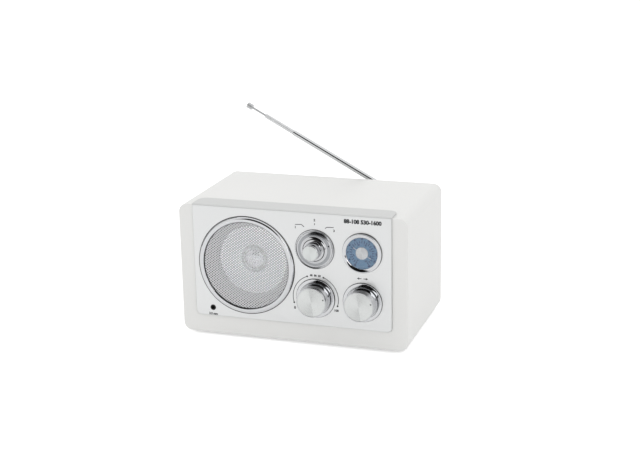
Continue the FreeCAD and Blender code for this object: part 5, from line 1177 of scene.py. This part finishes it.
@dataclass
class Dial:
    """Round tuning dial: bezel, lens, scale with numbers, pointer and hub."""

    bench: Bench
    numbers: tuple[Numbers, ...] = (
        Numbers(("88", "90", "92", "94", "96", "98", "100", "102", "104", "106", "108"), 2.1, 14.6, 0.08),
        Numbers(("53", "60", "70", "80", "100", "120", "140", "160"), 2.0, 9.0, 0.05))
    ticks: tuple[Ticks, ...] = (Ticks(41, 4, 0.36, (15.4, 16.2), (14.8, 16.2)),
                                Ticks(25, 3, 0.64, (10.4, 13.0), (10.4, 13.4)))
    bezel_crown: Profile = ((0.0, 0.0), (0.0, 0.63), (0.03, 0.83), (0.10, 0.95), (0.20, 1.0), (0.33, 0.975),
                            (0.54, 0.89), (0.77, 0.78), (0.95, 0.69), (1.0, 0.63))
    bezel_seal: float = 0.6
    lip: float = 0.8
    first_angle: float = -150.0
    last_angle: float = 150.0
    circle_radius: float = 10.8
    circle_width: float = 0.14
    needle_angle: float = 120.0
    needle_reach: float = 10.6
    needle_width: float = 0.5
    needle_depths: tuple[float, float] = (0.95, 0.7)
    needle_ease: float = 0.08
    disc_front: float = 0.55
    lens_front: float = 1.95
    lens_inset: float = 0.85
    lens_thickness: float = 0.4
    hub_front: float = 1.45

    def build(self) -> None:
        """Builds the dial from its bezel to its hub."""
        self.bezel()
        self.lens()
        self.scale()
        self.pointer()
        self.hub()

    def bezel(self) -> None:
        """Chrome ring round the dial."""
        box, lens = Extent.of("dial_bezel"), Extent.of("dial_lens")
        at, inner, rebate = box.at(box.high.y), lens.radius - self.lip, lens.radius + 0.1
        profile = crown(box.radius, inner, box.depth, self.bezel_crown)
        profile += [(inner, -self.disc_front), (rebate, -self.disc_front), (rebate, 0.0)]
        self.bench.show(self.bench.turned(profile, at), "dial_trim_ring", "dial_bezel")
        # Painted shade: a black ring for the shadow line round the bezel.
        self.bench.seal(at, box.radius, "dial_seal", self.bezel_seal)

    def lens(self) -> None:
        """Clear lens with a slight crown, just inside the bezel."""
        box, base = Extent.of("dial_lens"), Extent.of("dial_bezel").high.y
        radius, thick = box.radius - self.lens_inset, self.lens_thickness
        profile = [(0.0, 0.02), (radius * 0.6, 0.04), (radius - 0.3, 0.08), (radius, 0.16), (radius, thick),
                   (0.0, thick)]
        mesh = self.bench.turned(profile, box.at(base - self.lens_front), 96, False)
        self.bench.show(mesh, "dial_clear_lens", "dial_lens")

    def scale(self) -> None:
        """Blue disc with two rings of plain numbers, two of ticks, and a thin circle."""
        bench = self.bench
        bench.sleek("dial_scale")
        box = Extent.of("dial_scale")
        face = box.low.y - INK_DEPTH
        parts = []
        for ring in self.numbers:
            for index, words in enumerate(ring.words):
                angle = self.angle(index, len(ring.words))
                x, z = clock(box.x, box.z, ring.radius, angle)
                parts.append(bench.text(words, ring.size, (x, face, z), angle, ring.weight))
        for ring in self.ticks:
            for index in range(ring.count):
                low, high = ring.short if index % ring.step else ring.long
                mark = bench.block((-ring.width / 2, face, low), (ring.width / 2, face + INK_DEPTH, high))
                parts.append(bench.swing(mark, self.angle(index, ring.count), box.at(0.0)))
        ends = self.first_angle, self.last_angle
        parts.append(bench.arc(box.at(face), self.circle_radius, self.circle_width, *ends, steps=64))
        bench.show(bench.joined(parts), "dial_numbers", finish=SCALE_INK, body="radio", smooth=20.0)

    def angle(self, index: int, count: int) -> float:
        """Clockwise angle of one of evenly spread marks."""
        return self.first_angle + (self.last_angle - self.first_angle) * index / (count - 1)

    def pointer(self) -> None:
        """White pointer across the hub."""
        base, reach, half = Extent.of("dial_bezel").high.y, self.needle_reach, self.needle_width / 2
        front, back = (base - depth for depth in self.needle_depths)
        mesh = self.bench.block((-reach, front, -half), (reach, back, half))
        bmesh.ops.bevel(mesh, geom=mesh.edges[:], offset=self.needle_ease, offset_type="OFFSET", segments=1,
                        profile=0.5, affect="EDGES", clamp_overlap=True, material=-1)
        self.bench.swing(mesh, self.needle_angle - 90.0, Extent.of("dial_hub_cap").at(0.0))
        self.bench.show(mesh, "dial_needle", "dial_pointer")

    def hub(self) -> None:
        """Brushed hub, whose colour carries painted highlight and shade sectors."""
        box, base = Extent.of("dial_hub_cap"), Extent.of("dial_bezel").high.y
        radius, thick = box.radius, box.depth
        spun = Spun("spun_hub", paint(198, 200, 202), 0.30, centre=box.centre, fan=0.30)
        profile = [(0.0, 0.0), (radius - 0.35, 0.0), (radius - 0.1, 0.06), (radius, 0.22), (radius, thick),
                   (0.0, thick)]
        mesh = self.bench.turned(profile, box.at(base - self.hub_front), 96, False)
        self.bench.show(mesh, "dial_hub", "dial_hub_cap", spun)


@dataclass
class Antenna:
    """Telescopic antenna with its swivel."""

    bench: Bench
    lean: float = 28.35
    tip_radius: float = 3.2
    tip_length: float = 6.6

    def build(self) -> None:
        """Dresses bush, head, pin, the telescopic sections and their tip."""
        self.bench.sleek("antenna_bushing", "antenna_head", "hinge_pin", "antenna_tube_1")
        # Tubes 2 and 3 get the paler copy of the chrome, which paints their light look.
        self.bench.sleek("antenna_tube_2", "antenna_tube_3", finish=PALE_ROD)
        self.bench.sleek("antenna_rod", finish=SATIN_ROD)
        self.tip()

    def tip(self) -> None:
        """Turned tip with a shallow groove."""
        radius, half = self.tip_radius, self.tip_length / 2
        side = [(radius - 0.45, -half), (radius - 0.12, 0.12 - half), (radius, 0.4 - half), (radius, -0.9),
                (radius - 0.2, -0.7), (radius - 0.2, -0.1), (radius, 0.1), (radius, half - 0.4),
                (radius - 0.12, half - 0.12), (radius - 0.45, half)]
        mesh = self.bench.turned([(0.0, -half)] + side + [(0.0, half)], (0.0, 0.0, 0.0), 64, False)
        box = Extent.of("antenna_tip")
        turn = Matrix.Rotation(math.radians(self.lean), 4, "Y") @ Matrix.Rotation(math.pi / 2, 4, "Z")
        place = Matrix.Translation((box.low + box.high) / 2) @ turn
        bmesh.ops.transform(mesh, matrix=place, verts=mesh.verts)
        self.bench.show(mesh, "antenna_cap", "antenna_tip", SATIN_ROD)


@dataclass
class Inside:
    """Everything behind the panel that no other class dresses."""

    bench: Bench

    def build(self) -> None:
        """Smooths the round pieces and dresses all that is left."""
        self.bench.sleek("line_in_jack", "mains_inlet", "volume_shaft", "selector_shaft", "tuning_shaft", "dial_shaft",
                         "volume_control", "band_switch", "main_board", "ferrite_rod", "mains_transformer",
                         "tuning_bush")
        self.bench.dress_rest()


# Room

@dataclass
class Studio:
    """Pale floor, plain soft light, a few cards that only gloss sees, and the camera.

    Lengths are in metres, but for the camera's target, distance, lens and sensor, which are in millimetres.
    """

    azimuth: float = 18.526
    elevation: float = 16.410
    roll: float = -1.084
    distance: float = 1410.93
    target: Spot = (8.14, -2.25, 106.73)
    lens: float = 74.93
    sensor: float = 36.0
    view_end: float = 60.0
    floor_size: float = 14.0
    floor_colour: Colour = (0.92, 0.92, 0.92)
    floor_lift: float = 0.50
    mirror_lift: float = 0.18
    sky_level: float = 0.91
    lamp_power: float = 3.5
    lamp_size: float = 2.0
    lamp_spot: Spot = (-1.0, -0.6, 2.4)
    black: Colour = (0.01, 0.01, 0.01)
    card_low: tuple[float, float] = (-1.10, 0.16)
    card_high: tuple[float, float] = (1.15, 3.10)
    card_y: float = -2.0
    card_thickness: float = 0.01
    card_fade: float = 0.40
    strip: tuple[tuple[float, float], ...] = ((0.78, 0.12), (1.08, 0.12), (1.12, 0.86), (0.54, 0.86))
    strip_y: float = -1.94
    strip_colour: Colour = (0.8, 0.8, 0.8)
    strip_level: float = 1.5
    stand: tuple[Spot, Spot] = ((0.27, -0.62, 0.0), (0.34, -0.55, 0.055))
    side: tuple[Spot, Spot] = ((-1.21, -0.35, 0.02), (-1.20, 1.40, 1.90))

    def build(self) -> None:
        """Sets up camera, sky, floor, lamp and cards."""
        bpy.context.scene.view_settings.view_transform = "Standard"
        self.camera()
        self.sky()
        self.floor()
        self.lamp()
        self.dark_card()
        self.bright_strip()
        self.dark_blocks()

    def camera(self) -> None:
        """Camera on the line of sight to the target, rolled a little."""
        turn, rise, roll = (math.radians(value) for value in (self.azimuth, self.elevation, self.roll))
        back = Vector((math.sin(turn) * math.cos(rise), -math.cos(turn) * math.cos(rise), math.sin(rise)))
        right = Vector((0.0, 0.0, 1.0)).cross(back).normalized()
        up = back.cross(right)
        across = right * math.cos(roll) + up * math.sin(roll)
        above = up * math.cos(roll) - right * math.sin(roll)
        spot = (Vector(self.target) + back * self.distance) * MM
        data = bpy.data.cameras.new("viewer")
        data.lens, data.sensor_width, data.sensor_fit = self.lens, self.sensor, "HORIZONTAL"
        data.clip_end = self.view_end
        camera = bpy.data.objects.new("viewer", data)
        camera.matrix_world = Matrix.Translation(spot) @ Matrix((across, above, back)).transposed().to_4x4()
        bpy.context.scene.collection.objects.link(camera)
        bpy.context.scene.camera = camera

    def sky(self) -> None:
        """Even white sky, full white where the camera, gloss or glass looks at it."""
        world = bpy.data.worlds.new("studio_sky")
        world.use_nodes = True
        tree = Tree(world.node_tree)
        camera, glossy, glass = tree.rays()
        seen = tree.math("MAXIMUM", tree.math("MAXIMUM", camera, glossy), glass)
        level = tree.node("ShaderNodeMix", {}, {0: seen, 2: self.sky_level, 3: 1.0})
        light = tree.node("ShaderNodeBackground", {}, {"Color": WHITE, "Strength": level})
        tree.add("ShaderNodeOutputWorld", {}, {"Surface": light})
        bpy.context.scene.world = world

    def floor(self) -> None:
        """White floor that keeps a soft shadow and meets the sky without an edge."""
        mesh = bmesh.new()
        bmesh.ops.create_grid(mesh, x_segments=1, y_segments=1, size=self.floor_size)
        surface = self.matt("studio_floor", self.floor_colour, 1.0)
        camera, glossy, glass = surface.rays()
        mirrored = surface.math("MINIMUM", glossy + glass, 1.0)
        surface.put(Emission_Strength=camera * self.floor_lift + mirrored * self.mirror_lift)
        self.stage(mesh, surface)

    def lamp(self) -> None:
        """Large soft lamp above and to the left."""
        data = bpy.data.lights.new("soft_lamp", "AREA")
        data.shape, data.size, data.energy = "SQUARE", self.lamp_size, self.lamp_power
        lamp = bpy.data.objects.new("soft_lamp", data)
        spot = Vector(self.lamp_spot)
        lamp.matrix_world = Matrix.Translation(spot) @ spot.to_track_quat("Z", "Y").to_matrix().to_4x4()
        lamp.visible_glossy = False
        bpy.context.scene.collection.objects.link(lamp)

    def dark_card(self) -> None:
        """Dark card in front with soft sides, as gloss in a white room needs something dark to show."""
        (x0, z0), (x1, z1) = self.card_low, self.card_high
        mesh = Bench.block((x0, self.card_y - self.card_thickness, z0), (x1, self.card_y, z1))
        surface = self.matt("dark_card", self.black)
        x, _, z = surface.place().parts()
        glow = self.fade(x - x0) + self.fade(x1 - x) + self.fade((z - z0) * 3.0) + self.fade((z1 - z) * 0.5)
        surface.put(Emission_Strength=surface.math("MINIMUM", glow, 1.0))
        self.stage(mesh, surface, "dark_card")

    def bright_strip(self) -> None:
        """Bright strip with a slanting side."""
        mesh = bmesh.new()
        sheet = mesh.faces.new([mesh.verts.new((x, self.strip_y, z)) for x, z in self.strip])
        bmesh.ops.recalc_face_normals(mesh, faces=[sheet])
        surface = Surface("bright_strip")
        surface.put(Base_Color=self.strip_colour, Emission_Color=WHITE, Emission_Strength=self.strip_level)
        self.stage(mesh, surface, "bright_strip")

    def dark_blocks(self) -> None:
        """Small dark stand in front and a dark wall at the side."""
        surface = self.matt("stand_black", self.black)
        self.stage(Bench.block(*self.stand), surface, "dark_stand")
        self.stage(Bench.block(*self.side), surface, "dark_side")

    def fade(self, reach: Wire) -> Wire:
        """1 at an edge of the card, and 0 from the fade's width inwards."""
        share = reach.tree.math("MAXIMUM", 1 - reach / self.card_fade, 0.0)
        return share * share

    @staticmethod
    def matt(name: str, colour: Colour, roughness: float = 0.9) -> Surface:
        """Surface without gloss, which glows white once its emission has a strength.

        Args:
            name: Its material's name.
            colour: Its colour.
            roughness: Its roughness.

        Returns:
            The surface.
        """
        surface = Surface(name)
        surface.put(Base_Color=colour, Roughness=roughness, Specular_IOR_Level=0.0, Emission_Color=WHITE)
        return surface

    @staticmethod
    def stage(mesh: Mesh, surface: Surface, card: str = "") -> None:
        """Puts a mesh in metres on the stage.

        Args:
            mesh: The mesh, used up.
            surface: Its surface, whose name it takes unless it is a card.
            card: Name of a card, which is there for gloss alone.
        """
        name = card or surface.material.name
        data = bpy.data.meshes.new(name)
        mesh.to_mesh(data)
        mesh.free()
        data.materials.append(surface.material)
        item = bpy.data.objects.new(name, data)
        if card:
            item.visible_camera = item.visible_diffuse = item.visible_shadow = item.visible_transmission = False
        bpy.context.scene.collection.objects.link(item)


def corners(box: Sequence[Sequence[float]]) -> list[list[float]]:
    """Box corners as plain lists."""
    return [[float(value) for value in corner] for corner in box]


def main() -> None:
    """Builds the model and its room."""
    logging.basicConfig(level=logging.INFO, format="%(message)s")
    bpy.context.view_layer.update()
    Studio().build()
    bench = Bench()
    for assembly in (Cabinet, Panel, Speaker, Controls, Dial, Antenna, Inside):
        assembly(bench).build()
        LOG.info("done: %s", assembly.__name__)
    bpy.context.view_layer.update()


if __name__ == "__main__":
    main()
